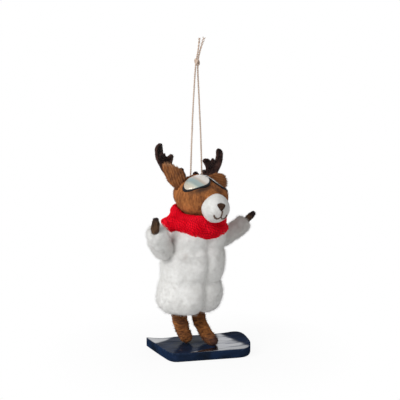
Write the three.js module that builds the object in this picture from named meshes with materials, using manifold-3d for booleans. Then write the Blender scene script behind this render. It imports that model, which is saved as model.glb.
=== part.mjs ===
// A needle-felted deer in a white quilted coat on a navy snowboard, with a twine loop to hang it by.
// Millimetres, +Z up. The deer faces -Y and its own left side is +X.
// The origin is the middle of the snowboard's underside.

import * as THREE from 'three';
import { mergeVertices } from 'three/addons/utils/BufferGeometryUtils.js';
import Module from 'manifold-3d';

const wasm = await Module();
wasm.setup();

// Clearances and overruns
const seat_gap = 0.3;
const swivel_gap = 0.45;
const cut_overrun = 3;

// Snowboard
const board_length = 61;
const board_width = 35;
const board_thickness = 5.6;
const board_tip_rise = 1.6;
const board_flat_share = 0.6;
const board_yaw_degrees = -14;

// Stance: where the middles of the hem and the neck lie, and the heights of the coat
const hem_height = 25.5;
const low_seam_height = 45;
const high_seam_height = 63.2;
const coat_top_height = 79;
const hem_middle = { x: -3.6, y: 8.1 };
const neck_middle = { x: 1.8, y: 4.9 };
const aboveNeck = (offset) => ({
  x: neck_middle.x + offset.x, y: neck_middle.y + offset.y, z: coat_top_height + offset.z,
});

// Coat
const skirt_radius = 21;
const waist_radius = 20.9;
const chest_radius = 18;
const seam_depth = 2.1;
const hem_mouth_radius = 14;
const collar_radius = 10.5;
const coat_wall = 3;
const front_seam_depth = 2.2;
const front_seam_width_degrees = 13;
const coat_depth_share = 0.93;

// Body of wool inside the coat
const hem_recess = 3.5;
const neck_radius = 7.4;

// Legs: each leaves the hem at its top, given from the hem's middle, and its toe is given from its top
const toe_radius = 3.5;
const leg_wire_diameter = 1.2;
const leg_socket_depth = 6;
const right_leg = { radius: 4.7, top_x: -5.6, top_y: 1.6, toe_x: 4, toe_y: -7.8 };
const left_leg = { radius: 4.1, top_x: 6.6, top_y: 1.2, toe_x: 2.9, toe_y: -19.5 };

// Head and muzzle; the head's middle is given from the neck's middle at the coat's top
const head_width = 31.5;
const head_length = 36;
const head_height = 25.5;
const head_offset = { x: 1.2, y: -1.4, z: 16.4 };
const head_middle = aboveNeck(head_offset);
const head_roll_degrees = 8;
const muzzle_radius = 8.4;
const muzzle_length = 16;
const muzzle_forward = 17.6;
const muzzle_drop = 3.9;
const nose_width = 5.4;
const nose_height = 4;
const nose_thickness = 1.4;
const nose_across_share = -0.1;
const nose_up_share = 0.22;
const stitch_diameter = 0.8;

// Ears
const ear_length = 17.2;
const ear_width = 11.6;
const ear_thickness = 3.8;
const ears = {
  right: {
    side: -1, sweep_degrees: 15, lift_degrees: 59, slant_share: 0.77, out_share: 0.93, back_share: 0.235,
  },
  left: { side: 1, sweep_degrees: 8, lift_degrees: -3, slant_share: 0.2, out_share: 0.32, back_share: 0.31 },
};

// Antlers
const antler_width = 17;
const antler_height = 19.5;
const antler_thickness = 2.2;
const antler_lean_degrees = -6;
const antlers = {
  right: {
    side: -1, size_share: 1.05, tilt_degrees: 8, lift_share: 0.125, out_share: 0.49, back_share: 0.57,
  },
  left: { side: 1, size_share: 1.05, tilt_degrees: -8, lift_share: -0.3, out_share: 0.1, back_share: 0.57 },
};

// Goggles
const goggle_width = 29.4;
const goggle_height = 12.4;
const goggle_depth = 1.8;
const goggle_sink = 1.2;
const goggle_rim = 0.9;
const goggle_pitch_degrees = 61.6;
const goggle_roll_degrees = -6.5;
const lens_inset = 0.3;
const lens_thickness = 0.7;
const bridge_notch = 7.4;

// Scarf; its middle is given from the neck's middle at the coat's top
const scarf_radius = 17.4;
const scarf_height = 12.8;
const scarf_thickness = 7.6;
const scarf_offset = { x: 0.2, y: -0.6, z: 4.2 };
const scarf_middle = aboveNeck(scarf_offset);
const scarf_drop_front = 3.2;
const scarf_drop_left = 2.2;
const scarf_fold_depth = 1.1;
const flap_length = 7.5;
const flap_width = 7;
const flap_drop = 2;
const flap_thickness = 3.2;
const flap_bearing_degrees = 152;

// Arms: each pivot is given from the body's middle at the high seam, and the arm's reach from its pivot to
// the hoof's tip. The route between them is in shares of that reach across, back and up.
const shoulder_ball_radius = 5.4;
const sleeve_radius = 5.3;
const cuff_radius = 4.3;
const hand_radius = 2.1;
const hoof_radius = 2.3;
const hand_socket_depth = 9;
const arm_wire_diameter = 1;
const arm_raise_degrees = 15;
const arm_lower_degrees = -30;
const pivot_out_share = 0.88;
const right_arm = { side: -1, pivot_back: 1.1, pivot_rise: 0.3, across: -15.6, back: -10, rise: 24.7 };
const left_arm = { side: 1, pivot_back: 2.7, pivot_rise: 3.6, across: 28.4, back: 3.2, rise: 13.8 };
const right_arm_route_shares = [
  [0, 0, 0], [0.32, 0.18, 0.03], [0.68, 0.42, 0.182],
  [0.923, 0.68, 0.466], [0.987, 0.84, 0.684], [1, 1, 1],
];
const left_arm_route_shares = [
  [0, 0, 0], [0.197, 0.125, 0.072], [0.408, 0.312, 0.232],
  [0.613, 0.5, 0.464], [0.761, 0.688, 0.667], [1, 1, 1],
];

// Twine: routes chosen by hand from the crown of the head to the knot, and from the knot to each end
const twine_diameter = 1;
const knot_height = 3.6;
const knot_width = 2.8;
const knot_middle = { x: 2.9, y: 8.5, z: 175.4 };
const strand_routes = {
  right: [{ x: -1, y: 9.5, z: 106 }, { x: -0.2, y: 9.3, z: 131 }, { x: 0.7, y: 8.9, z: 153 }],
  left: [{ x: 6.7, y: 9.5, z: 105.6 }, { x: 5.8, y: 9.3, z: 131 }, { x: 4.5, y: 8.9, z: 153 }],
};
const tail_routes = {
  right: [{ x: 3.6, y: 8.5, z: 182 }, { x: 4.6, y: 8.6, z: 189.4 }],
  left: [{ x: 5, y: 8.3, z: 182.6 }, { x: 7.5, y: 8.2, z: 189.8 }],
};

const degrees = THREE.MathUtils.degToRad;
const lerp = THREE.MathUtils.lerp;
const at = (place) => new THREE.Vector3(place.x, place.y, place.z);

// Solid from a closed geometry, and back
function solid(geometry) {
  const bare = geometry.index ? geometry.toNonIndexed() : geometry.clone();
  bare.deleteAttribute('normal');
  bare.deleteAttribute('uv');
  const merged = mergeVertices(bare, 1e-4);
  return new wasm.Manifold(new wasm.Mesh({
    numProp: 3,
    vertProperties: new Float32Array(merged.attributes.position.array),
    triVerts: new Uint32Array(merged.index.array),
  }));
}

function geometryOf(manifold) {
  const mesh = manifold.getMesh();
  const geometry = new THREE.BufferGeometry();
  geometry.setAttribute('position', new THREE.BufferAttribute(new Float32Array(mesh.vertProperties), 3));
  geometry.setIndex(new THREE.BufferAttribute(new Uint32Array(mesh.triVerts), 1));
  geometry.computeVertexNormals();
  return geometry;
}

// Closed solid through a row of rings with the same number of points, with flat ends
function loft(rings) {
  const sides = rings[0].length;
  const points = rings.flat();
  const faces = [];
  for (let ring = 0; ring < rings.length - 1; ring += 1) {
    for (let side = 0; side < sides; side += 1) {
      const here = ring * sides + side;
      const next = ring * sides + (side + 1) % sides;
      faces.push(here, next, next + sides, here, next + sides, here + sides);
    }
  }
  for (const [ring, flip] of [[0, true], [rings.length - 1, false]]) {
    const middle = points.length;
    const sum = rings[ring].reduce((total, point) => total.add(point), new THREE.Vector3());
    points.push(sum.divideScalar(sides));
    for (let side = 0; side < sides; side += 1) {
      const here = ring * sides + side;
      const next = ring * sides + (side + 1) % sides;
      faces.push(...(flip ? [middle, next, here] : [middle, here, next]));
    }
  }
  return fromPoints(points, faces);
}

// Closed ring solid through sections that come round again to the first
function loftLoop(sections) {
  const sides = sections[0].length;
  const count = sections.length;
  const faces = [];
  for (let ring = 0; ring < count; ring += 1) {
    for (let side = 0; side < sides; side += 1) {
      const here = ring * sides + side;
      const next = ring * sides + (side + 1) % sides;
      const above = ((ring + 1) % count) * sides + side;
      const beyond = ((ring + 1) % count) * sides + (side + 1) % sides;
      faces.push(here, beyond, next, here, above, beyond);
    }
  }
  return fromPoints(sections.flat(), faces);
}

function fromPoints(points, faces) {
  const geometry = new THREE.BufferGeometry();
  const values = points.flatMap((point) => [point.x, point.y, point.z]);
  geometry.setAttribute('position', new THREE.Float32BufferAttribute(values, 3));
  geometry.setIndex(faces);
  return geometry;
}

// Round limb along a route, whose radius follows radiusAt(share of the length)
function limb(route, radiusAt, steps, sides) {
  const curve = new THREE.CatmullRomCurve3(route.map(at), false, 'centripetal');
  const frames = curve.computeFrenetFrames(steps, false);
  const rings = [];
  for (let step = 0; step <= steps; step += 1) {
    const middle = curve.getPointAt(step / steps);
    const radius = radiusAt(step / steps);
    rings.push(ringOf(middle, frames.normals[step], frames.binormals[step], radius, radius, sides));
  }
  return loft(rings);
}

function ringOf(middle, across, up, across_radius, up_radius, sides) {
  const ring = [];
  for (let side = 0; side < sides; side += 1) {
    const turn = 2 * Math.PI * side / sides;
    ring.push(middle.clone()
      .addScaledVector(across, across_radius * Math.cos(turn))
      .addScaledVector(up, up_radius * Math.sin(turn)));
  }
  return ring;
}

// Radius share that closes a limb's end roundly over the last stretch
function roundedEnd(share, stretch_share) {
  const into = Math.max(0, (share - 1 + stretch_share) / stretch_share);
  const least_share = 0.2;
  return Math.max(least_share, Math.sqrt(Math.max(0, 1 - into * into)));
}

// Smooth value between the entries of an evenly spaced list of shares
function along(shares, share) {
  const place = share * (shares.length - 1);
  const low = Math.min(Math.floor(place), shares.length - 2);
  return lerp(shares[low], shares[low + 1], THREE.MathUtils.smoothstep(place - low, 0, 1));
}

// Snowboard: a hand-cut plan, blunt at one end and round at the other, cut from a slab whose ends curve up
function snowboard() {
  const half_length = board_length / 2;
  const half_width = board_width / 2;
  const start_shares = [-0.56, -0.95];
  const sides_shares = [
    [[0.76, -1]],
    [[0.95, -0.97], [0.985, -0.3]],
    [[1.01, 0.15], [0.985, 0.55]],
    [[0.95, 0.98], [0.76, 1]],
    [[-0.9, 0.94]],
    [[-1, 0.94], [-0.97, 0.78]],
    [[-0.77, -0.5]],
    [[-0.72, -0.92], start_shares],
  ];
  const place = ([along_share, across_share]) => [along_share * half_length, across_share * half_width];
  const plan = new THREE.Shape();
  plan.moveTo(...place(start_shares));
  for (const points_shares of sides_shares) {
    const values = points_shares.flatMap(place);
    if (points_shares.length === 1) plan.lineTo(...values);
    else plan.quadraticCurveTo(...values);
  }
  const tall = board_thickness + board_tip_rise + 2 * cut_overrun;
  const outline = new THREE.ExtrudeGeometry(plan, { depth: tall, bevelEnabled: false, curveSegments: 6 });
  outline.translate(0, 0, -cut_overrun);

  const reach = half_length + cut_overrun;
  const rise = (x) => {
    const past = Math.abs(x) / half_length - board_flat_share;
    return board_tip_rise * Math.max(0, past / (1 - board_flat_share)) ** 2;
  };
  const stations = Array.from({ length: 25 }, (_, step) => lerp(-reach, reach, step / 24));
  const under = stations.map((x) => new THREE.Vector2(x, rise(x)));
  const over = stations.map((x) => new THREE.Vector2(x, rise(x) + board_thickness)).reverse();
  const side = new THREE.ExtrudeGeometry(new THREE.Shape([...under, ...over]), {
    depth: board_width + 2 * cut_overrun, bevelEnabled: false,
  });
  side.rotateX(Math.PI / 2);
  side.translate(0, half_width + cut_overrun, 0);
  return solid(outline).intersect(solid(side));
}

// Middle of the body at a height, on the line that leans from the hem to the neck
function bodyMiddle(height) {
  const share = (height - hem_height) / (coat_top_height - hem_height);
  return new THREE.Vector3(
    lerp(hem_middle.x, neck_middle.x, share), lerp(hem_middle.y, neck_middle.y, share), height);
}

// Level ring about the body, with the valley of the coat's front seam
function bodyRing(height, radius, seam, sides) {
  const middle = bodyMiddle(height);
  const ring = [];
  for (let side = 0; side < sides; side += 1) {
    const turn = 2 * Math.PI * side / sides;
    const from_front = Math.atan2(Math.cos(turn), -Math.sin(turn));
    const valley = seam * Math.exp(-((from_front / degrees(front_seam_width_degrees)) ** 2));
    const reach = radius - valley;
    ring.push(new THREE.Vector3(
      middle.x + reach * Math.cos(turn), middle.y + coat_depth_share * reach * Math.sin(turn), height));
  }
  return ring;
}

// Outside of the coat: three puffed tiers between the hem, two seams and the collar; spare widens it and
// raises its top
function coatForm(spare) {
  const sides = 36;
  const puff_steps = 6;
  const puff_power = 0.55;
  const tiers = [
    { from: hem_height, to: low_seam_height, radius: skirt_radius, start: hem_mouth_radius,
      end: skirt_radius - seam_depth },
    { from: low_seam_height, to: high_seam_height, radius: waist_radius, start: skirt_radius - seam_depth,
      end: waist_radius - seam_depth },
    { from: high_seam_height, to: coat_top_height + spare, radius: chest_radius,
      start: waist_radius - seam_depth, end: collar_radius },
  ];
  const rings = [];
  tiers.forEach((tier, index) => {
    for (let step = index === 0 ? 0 : 1; step <= puff_steps; step += 1) {
      const share = (1 - Math.cos(Math.PI * step / puff_steps)) / 2;
      const edge = lerp(tier.start, tier.end, share);
      const puff = Math.max(0, Math.sin(Math.PI * share)) ** puff_power;
      const radius = edge + (tier.radius - edge) * puff + spare;
      rings.push(bodyRing(lerp(tier.from, tier.to, share), radius, front_seam_depth, sides));
    }
  });
  return solid(loft(rings));
}

// Wool body, wide at the hem and narrow at the neck; spare widens it into the coat's hollow
function bodyForm(from, to, spare) {
  const chest_wall_share = 1.5;
  const neck_start_share = 0.6;
  const stations = [
    [from, skirt_radius - seam_depth - coat_wall],
    [low_seam_height, skirt_radius - seam_depth - coat_wall],
    [high_seam_height, waist_radius - seam_depth - chest_wall_share * coat_wall],
    [lerp(high_seam_height, coat_top_height, neck_start_share), neck_radius + coat_wall / 2],
    [coat_top_height, neck_radius],
    [to, neck_radius],
  ];
  return solid(loft(stations.map(([height, radius]) => bodyRing(height, radius + spare, 0, 20))));
}

// Leg of wool from its socket in the body to the toe on the board
function legRoute(size) {
  const deck = board_thickness + seat_gap;
  const socket_top = hem_height + hem_recess + leg_socket_depth;
  const top = { x: hem_middle.x + size.top_x, y: hem_middle.y + size.top_y };
  const bend = (share, height) => (
    { x: top.x + share * size.toe_x, y: top.y + share * size.toe_y, z: height });
  return [
    bend(-0.06, socket_top), bend(0, hem_height), bend(0.16, lerp(deck, hem_height, 0.62)),
    bend(0.5, deck + 1.5 * toe_radius), bend(1, deck + 0.62 * toe_radius),
  ];
}

function leg(size, spare) {
  const taper_shares = [0.96, 1, 0.98, 0.92, 0.88, toe_radius / size.radius];
  const toe_stretch_share = 0.16;
  const radius = (share) => (
    size.radius * along(taper_shares, share) * roundedEnd(share, toe_stretch_share) + spare);
  return solid(limb(legRoute(size), radius, 12, 12));
}

function legWire(size, spare) {
  const route = legRoute(size).slice(0, 4);
  const radius = leg_wire_diameter / 2 + spare;
  return solid(limb(route, () => radius, 8, 6));
}

// Everything above the board's deck is kept; what is lower is cut flat
function aboveDeck(piece) {
  const block = new THREE.BoxGeometry(2 * board_length, 2 * board_length, board_length);
  block.translate(0, 0, board_thickness + seat_gap - board_length / 2);
  return piece.subtract(solid(block));
}

// Head: an egg of wool that narrows toward the face
function headForm(spare) {
  const geometry = new THREE.SphereGeometry(1, 24, 14);
  geometry.rotateX(Math.PI / 2);
  geometry.scale(head_width / 2 + spare, head_length / 2 + spare, head_height / 2 + spare);
  const place = geometry.attributes.position;
  const face_taper_share = 0.12;
  for (let index = 0; index < place.count; index += 1) {
    const forward = Math.max(0, -place.getY(index) / (head_length / 2));
    const narrow = 1 - face_taper_share * forward * forward;
    place.setX(index, place.getX(index) * narrow);
    place.setZ(index, place.getZ(index) * narrow);
  }
  return inHead(geometry);
}

// Moves a geometry made about the head's middle to its place on the body
function inHead(geometry) {
  geometry.rotateY(degrees(head_roll_degrees));
  geometry.translate(head_middle.x, head_middle.y, head_middle.z);
  return geometry;
}

// Height of the head's top surface over its middle at shares of its half width and half length
function headTop(out_share, back_share) {
  return head_height / 2 * Math.sqrt(Math.max(0, 1 - out_share ** 2 - back_share ** 2));
}

function muzzleForm(spare) {
  const geometry = new THREE.SphereGeometry(1, 20, 12);
  geometry.rotateX(Math.PI / 2);
  geometry.scale(muzzle_radius + spare, muzzle_length / 2 + spare, muzzle_radius + spare);
  geometry.translate(0, -muzzle_forward, -muzzle_drop);
  return inHead(geometry);
}

// Front of the muzzle at a sideways and an upward share of its radius
function onMuzzle(across_share, up_share, out) {
  const forward_share = Math.sqrt(Math.max(0, 1 - across_share ** 2 - up_share ** 2));
  return new THREE.Vector3(
    across_share * (muzzle_radius + out),
    -muzzle_forward - forward_share * (muzzle_length / 2 + out),
    -muzzle_drop + up_share * (muzzle_radius + out));
}

// Nose: a rounded triangle of felt, point down, on the upper front of the muzzle
function nose() {
  const half = nose_width / 2;
  const outline = new THREE.Shape();
  outline.moveTo(-half, 0.3 * nose_height);
  outline.quadraticCurveTo(-half, 0.5 * nose_height, -0.6 * half, 0.5 * nose_height);
  outline.lineTo(0.6 * half, 0.5 * nose_height);
  outline.quadraticCurveTo(half, 0.5 * nose_height, half, 0.3 * nose_height);
  outline.quadraticCurveTo(0.7 * half, -0.2 * nose_height, 0.2 * half, -0.5 * nose_height);
  outline.lineTo(-0.2 * half, -0.5 * nose_height);
  outline.quadraticCurveTo(-0.7 * half, -0.2 * nose_height, -half, 0.3 * nose_height);
  const bevel = 0.2 * nose_thickness;
  const geometry = new THREE.ExtrudeGeometry(outline, {
    depth: nose_thickness + muzzle_length / 4, bevelThickness: bevel, bevelSize: bevel, bevelOffset: -bevel,
    bevelSegments: 2, curveSegments: 4,
  });
  geometry.rotateX(Math.PI / 2);
  geometry.translate(0, muzzle_length / 4, 0);
  geometry.rotateX(-Math.asin(nose_up_share));
  geometry.rotateZ(Math.asin(nose_across_share));
  const seat = onMuzzle(nose_across_share, nose_up_share, 0);
  geometry.translate(seat.x, seat.y, seat.z);
  return solid(inHead(geometry)).subtract(solid(muzzleForm(seat_gap)));
}

// Mouth: an anchor of thread, a line down from the nose and two curves out from its foot
function mouthThreads(spare) {
  const routes_shares = [
    [[0, -0.1], [0, -0.28], [0, -0.46]],
    [[0, -0.46], [-0.2, -0.62], [-0.4, -0.54], [-0.5, -0.36]],
    [[0, -0.46], [0.2, -0.6], [0.4, -0.5], [0.48, -0.3]],
  ];
  const radius = stitch_diameter / 2 + spare;
  return routes_shares
    .map((route_shares) => route_shares.map(([across, up]) => onMuzzle(across, up, stitch_diameter / 4)))
    .map((route) => solid(inHead(limb(route, () => radius, 6, 6))))
    .reduce((whole, thread) => whole.add(thread));
}

// Ear: a leaf of plush, narrow at its root in the head, with a blunt tip that slants to one side
function ear(side) {
  const geometry = new THREE.SphereGeometry(1, 14, 12);
  geometry.rotateX(Math.PI / 2);
  geometry.scale(ear_width / 2, ear_thickness / 2, ear_length / 2);
  const place = geometry.attributes.position;
  const root_share = 0.5;
  for (let index = 0; index < place.count; index += 1) {
    const up = place.getZ(index) / (ear_length / 2);
    const across = place.getX(index) * (up > 0 ? Math.sqrt(1 + up * up) : lerp(1, root_share, -up));
    const slant = side.side * side.slant_share * across * ((1 + up) / 2) ** 2;
    place.setX(index, across);
    place.setZ(index, place.getZ(index) + slant);
  }
  geometry.translate(0, 0, ear_length / 2);
  geometry.rotateY(side.side * (Math.PI / 2 - degrees(side.lift_degrees)));
  geometry.rotateZ(side.side * degrees(side.sweep_degrees));
  const seat_share = 0.8;
  geometry.translate(
    side.side * side.out_share * seat_share * head_width / 2,
    side.back_share * head_length / 2,
    seat_share * headTop(side.out_share, side.back_share));
  return solid(inHead(geometry));
}

// Antler: a flat palm of felt on a beam that runs out from the head, with a brow tine at its root
function antler(side) {
  const outline_shares = [
    [-0.02, -0.12], [0.3, -0.02], [0.58, 0.06], [0.76, 0.22], [0.86, 0.36], [0.95, 0.48], [1, 0.63],
    [1.02, 0.77], [1.01, 0.9], [0.93, 1.01], [0.84, 1.05], [0.77, 1.02], [0.76, 0.92], [0.75, 0.78],
    [0.72, 0.7], [0.68, 0.73], [0.63, 0.66], [0.54, 0.69], [0.43, 0.71], [0.37, 0.66], [0.37, 0.6],
    [0.41, 0.52], [0.42, 0.38], [0.34, 0.24], [0.18, 0.17], [0.12, 0.26], [0.06, 0.29], [-0.02, 0.24],
    [-0.04, 0.1], [-0.06, -0.04],
  ];
  const width = side.side * side.size_share * antler_width;
  const height = side.size_share * antler_height;
  const corners = outline_shares.map(([out, up]) => new THREE.Vector2(out * width, up * height));
  const bevel = 0.2 * antler_thickness;
  const geometry = new THREE.ExtrudeGeometry(new THREE.Shape(corners), {
    depth: antler_thickness - 2 * bevel, bevelThickness: bevel, bevelSize: bevel, bevelOffset: -bevel,
    bevelSegments: 1,
  });
  geometry.translate(0, 0, bevel - antler_thickness / 2);
  geometry.rotateX(Math.PI / 2);
  geometry.rotateY(side.side * degrees(side.tilt_degrees));
  geometry.rotateX(degrees(antler_lean_degrees));
  const seat_share = 0.94;
  geometry.translate(
    side.side * side.out_share * head_width / 2,
    side.back_share * head_length / 2,
    side.lift_share * head_height / 2 + seat_share * headTop(side.out_share, side.back_share));
  return solid(inHead(geometry));
}

// Goggle outline, two rounded lobes about a notch at the bridge; inset draws it in
function goggleOutline(inset) {
  const half = goggle_width / 2 - inset;
  const tall = goggle_height / 2 - inset;
  const outline = new THREE.Shape();
  outline.moveTo(0, -tall + bridge_notch);
  outline.quadraticCurveTo(0.1 * half, -0.95 * tall, 0.42 * half, -tall);
  outline.bezierCurveTo(0.72 * half, -tall, half, -0.7 * tall, half, -0.1 * tall);
  outline.bezierCurveTo(half, 0.62 * tall, 0.76 * half, tall, 0.4 * half, tall);
  outline.quadraticCurveTo(0.2 * half, tall, 0, 0.94 * tall);
  outline.quadraticCurveTo(-0.2 * half, tall, -0.4 * half, tall);
  outline.bezierCurveTo(-0.76 * half, tall, -half, 0.62 * tall, -half, -0.1 * tall);
  outline.bezierCurveTo(-half, -0.7 * tall, -0.72 * half, -tall, -0.42 * half, -tall);
  outline.quadraticCurveTo(-0.1 * half, -0.95 * tall, 0, -tall + bridge_notch);
  return outline;
}

// Straight prism of the goggle outline, from the head's middle out past the goggles
function gogglePrism(inset) {
  const geometry = new THREE.ExtrudeGeometry(goggleOutline(inset), {
    depth: head_length, bevelEnabled: false, curveSegments: 5,
  });
  geometry.rotateX(Math.PI / 2);
  geometry.rotateY(degrees(goggle_roll_degrees));
  geometry.rotateX(-degrees(goggle_pitch_degrees));
  return solid(inHead(geometry));
}

// Heights over the head's own surface of the goggles' back, which is pressed into the wool, and of their face
const goggle_back = seat_gap - goggle_sink;
const goggle_face = goggle_back + goggle_depth;
const lens_face = goggle_face - lens_inset;

// Dent that the goggles leave in the head's wool
function goggleSeat() {
  return gogglePrism(-seat_gap).subtract(solid(headForm(-goggle_sink)));
}

function goggleFrame() {
  const shell = solid(headForm(goggle_face)).subtract(solid(headForm(goggle_back)));
  const well = solid(headForm(goggle_face + seat_gap))
    .subtract(solid(headForm(lens_face - lens_thickness - seat_gap)));
  return shell.intersect(gogglePrism(0)).subtract(well.intersect(gogglePrism(goggle_rim)));
}

// The two lenses fill the frame's well but for a clearance and a strip at the bridge
function goggleLens(side) {
  const shell = solid(headForm(lens_face)).subtract(solid(headForm(lens_face - lens_thickness)));
  const half = new THREE.BoxGeometry(goggle_width, 2 * head_length, 2 * head_length);
  half.translate(side * (goggle_width / 2 + seat_gap), 0, 0);
  half.rotateY(degrees(goggle_roll_degrees));
  half.rotateX(-degrees(goggle_pitch_degrees));
  return shell.intersect(gogglePrism(goggle_rim + seat_gap)).intersect(solid(inHead(half)));
}

// Scarf: two soft rolls wound round the neck, lower at the throat, with its end standing out behind
function scarf() {
  const turns = 36;
  const sides = 12;
  const sways = [{ size_share: 0.05, waves: 3, start: 1 }, { size_share: 0.04, waves: 5, start: 0 }];
  const fold_sharpness = 2.4;
  const fold_tilt = 0.25;
  const sections = [];
  for (let step = 0; step < turns; step += 1) {
    const bearing = 2 * Math.PI * step / turns;
    const outward = new THREE.Vector3(Math.cos(bearing), Math.sin(bearing), 0);
    const sway = sways.reduce(
      (total, wave) => total + wave.size_share * Math.sin(wave.waves * bearing + wave.start), 1);
    const middle_radius = scarf_radius - scarf_thickness / 2;
    const middle = at(scarf_middle).addScaledVector(outward, middle_radius);
    middle.z -= scarf_drop_front * (1 - outward.y) / 2 + scarf_drop_left * (1 + outward.x) / 2;
    const section = [];
    for (let side = 0; side < sides; side += 1) {
      const turn = 2 * Math.PI * side / sides;
      const crease = Math.exp(-((fold_sharpness * Math.sin(turn + fold_tilt)) ** 2));
      const fold = scarf_fold_depth * Math.cos(turn) * crease;
      const reach = sway * (scarf_thickness / 2) * Math.cos(turn) - fold;
      section.push(middle.clone()
        .addScaledVector(outward, reach)
        .add(new THREE.Vector3(0, 0, sway * (scarf_height / 2) * Math.sin(turn))));
    }
    sections.push(section);
  }
  const bearing = degrees(flap_bearing_degrees);
  const outward = new THREE.Vector3(Math.cos(bearing), Math.sin(bearing), 0);
  const along_neck = new THREE.Vector3(-Math.sin(bearing), Math.cos(bearing), 0);
  const root = at(scarf_middle).addScaledVector(outward, scarf_radius - scarf_thickness);
  const flap_shares = [0, 0.35, 0.7, 1];
  const root_width_share = 0.8;
  const end_width_share = 1.15;
  const end_thickness_share = 0.6;
  const rings = flap_shares.map((share) => {
    const middle = root.clone().addScaledVector(outward, share * (flap_length + scarf_thickness / 2));
    middle.z -= flap_drop + share * flap_length / 4;
    const high = lerp(root_width_share, end_width_share, share) * flap_width / 2;
    const thick = lerp(1, end_thickness_share, share) * flap_thickness / 2;
    return ringOf(middle, along_neck, new THREE.Vector3(0, 0, 1), thick, high, 12);
  });
  return solid(loftLoop(sections)).add(solid(loft(rings)));
}

// Route of an arm from its pivot on the shoulder to the hoof's tip
function armRoute(arm, route_shares) {
  const height = high_seam_height + arm.pivot_rise;
  const middle = bodyMiddle(height);
  const pivot = {
    x: middle.x + arm.side * pivot_out_share * chest_radius, y: middle.y + arm.pivot_back, z: height,
  };
  return route_shares.map(([across, back, up]) => ({
    x: pivot.x + across * arm.across, y: pivot.y + back * arm.back, z: pivot.z + up * arm.rise,
  }));
}

// Share of an arm's length at which one point of its route lies
function armCurveShare(route, index) {
  const places = route.map(at);
  const steps = places.slice(1).map((place, step) => place.distanceTo(places[step]));
  const whole = steps.reduce((total, step) => total + step, 0);
  return steps.slice(0, index).reduce((total, step) => total + step, 0) / whole;
}

// Sleeve: a plump tube from its ball at the shoulder to the cuff
function sleeve(route, spare) {
  const swell_shares = [0.84, 0.98, 1, 0.96, 0.88, cuff_radius / sleeve_radius];
  const radius = (share) => sleeve_radius * along(swell_shares, share) + spare;
  const tube = solid(limb(route.slice(0, -1), radius, 11, 14));
  return tube.add(solid(shoulderBall(route, spare)));
}

// Room that a sleeve needs while it swings about its pivot
function armhole(route, side) {
  const pivot = at(route[0]);
  const swings = [arm_lower_degrees, 0, arm_raise_degrees];
  return swings
    .map((swing) => {
      const moved = limb(route.slice(0, 3), () => sleeve_radius + swivel_gap, 3, 10);
      moved.translate(-pivot.x, -pivot.y, -pivot.z);
      moved.rotateY(-side * degrees(swing));
      moved.translate(pivot.x, pivot.y, pivot.z);
      return solid(moved);
    })
    .reduce((whole, space) => whole.add(space), solid(shoulderBall(route, swivel_gap)));
}

function shoulderBall(route, spare) {
  const ball = new THREE.SphereGeometry(shoulder_ball_radius + spare, 14, 9);
  ball.translate(route[0].x, route[0].y, route[0].z);
  return ball;
}

// Hand: a rod of brown wool that sits in the cuff and ends in a pointed hoof
const quarter_shares = [0, 0.25, 0.5, 0.75, 1];

function handRoute(route) {
  const curve = new THREE.CatmullRomCurve3(route.map(at), false, 'centripetal');
  const cuff_share = armCurveShare(route, route.length - 2);
  const start_share = cuff_share - hand_socket_depth / curve.getLength();
  return quarter_shares.map((share) => curve.getPointAt(lerp(start_share, 1, share)));
}

function hand(route, spare) {
  const hoof_share = hoof_radius / hand_radius;
  const swell_shares = [1, 1, 1, hoof_share, hoof_share, 0.8, 0.3];
  return solid(limb(handRoute(route), (share) => hand_radius * along(swell_shares, share) + spare, 12, 10));
}

function armWire(route, spare) {
  const curve = new THREE.CatmullRomCurve3(route.map(at), false, 'centripetal');
  const end_share = armCurveShare(route, route.length - 2);
  const start_share = shoulder_ball_radius / 2 / curve.getLength();
  const places = quarter_shares.map((share) => curve.getPointAt(lerp(start_share, end_share, share)));
  return solid(limb(places, () => arm_wire_diameter / 2 + spare, 8, 6));
}

// Twine of round section along a route
function twine(route) {
  const section = new THREE.Shape();
  section.absarc(0, 0, twine_diameter / 2, 0, 2 * Math.PI);
  const curve = new THREE.CatmullRomCurve3(route.map(at), false, 'centripetal');
  const step_share = 2.6;
  const steps = Math.max(3, Math.round(curve.getLength() / (step_share * twine_diameter)));
  const geometry = new THREE.ExtrudeGeometry(section, {
    steps, extrudePath: curve, curveSegments: 4, bevelEnabled: false,
  });
  return solid(geometry);
}

// Overhand knot, drawn tight into one lump
function knotForm(spare) {
  const geometry = new THREE.SphereGeometry(1, 14, 10);
  geometry.rotateX(Math.PI / 2);
  geometry.scale(knot_width / 2 + spare, knot_width / 2 + spare, knot_height / 2 + spare);
  geometry.translate(knot_middle.x, knot_middle.y, knot_middle.z);
  return geometry;
}

const colours = {
  navy: { color: 0x16213f, roughness: 0.22 },
  wool: { color: 0x8a5a34, roughness: 0.95 },
  head_wool: { color: 0xa5693c, roughness: 0.95 },
  plush: { color: 0x9a5c30, roughness: 0.95 },
  antler_felt: { color: 0x341e1e, roughness: 0.95 },
  coat_felt: { color: 0xe1e1dc, roughness: 0.95 },
  muzzle_wool: { color: 0xd7d4d0, roughness: 0.95 },
  nose_felt: { color: 0x4b3223, roughness: 0.9 },
  hoof_wool: { color: 0x4b3e32, roughness: 0.95 },
  red_knit: { color: 0xcd0f1e, roughness: 0.9 },
  rim: { color: 0x0c0d10, roughness: 0.35 },
  mirror_film: { color: 0xa9c4cf, roughness: 0.12, metalness: 0.5 },
  steel: { color: 0x8c8c8c, roughness: 0.4, metalness: 1 },
  jute: { color: 0xb69a86, roughness: 0.9 },
};

const group = new THREE.Group();

function addPiece(name, manifold, colour) {
  const mesh = new THREE.Mesh(geometryOf(manifold), new THREE.MeshStandardMaterial(colour));
  mesh.name = name;
  group.add(mesh);
  return mesh;
}

addPiece('snowboard', snowboard(), colours.navy).rotation.z = degrees(board_yaw_degrees);

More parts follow.
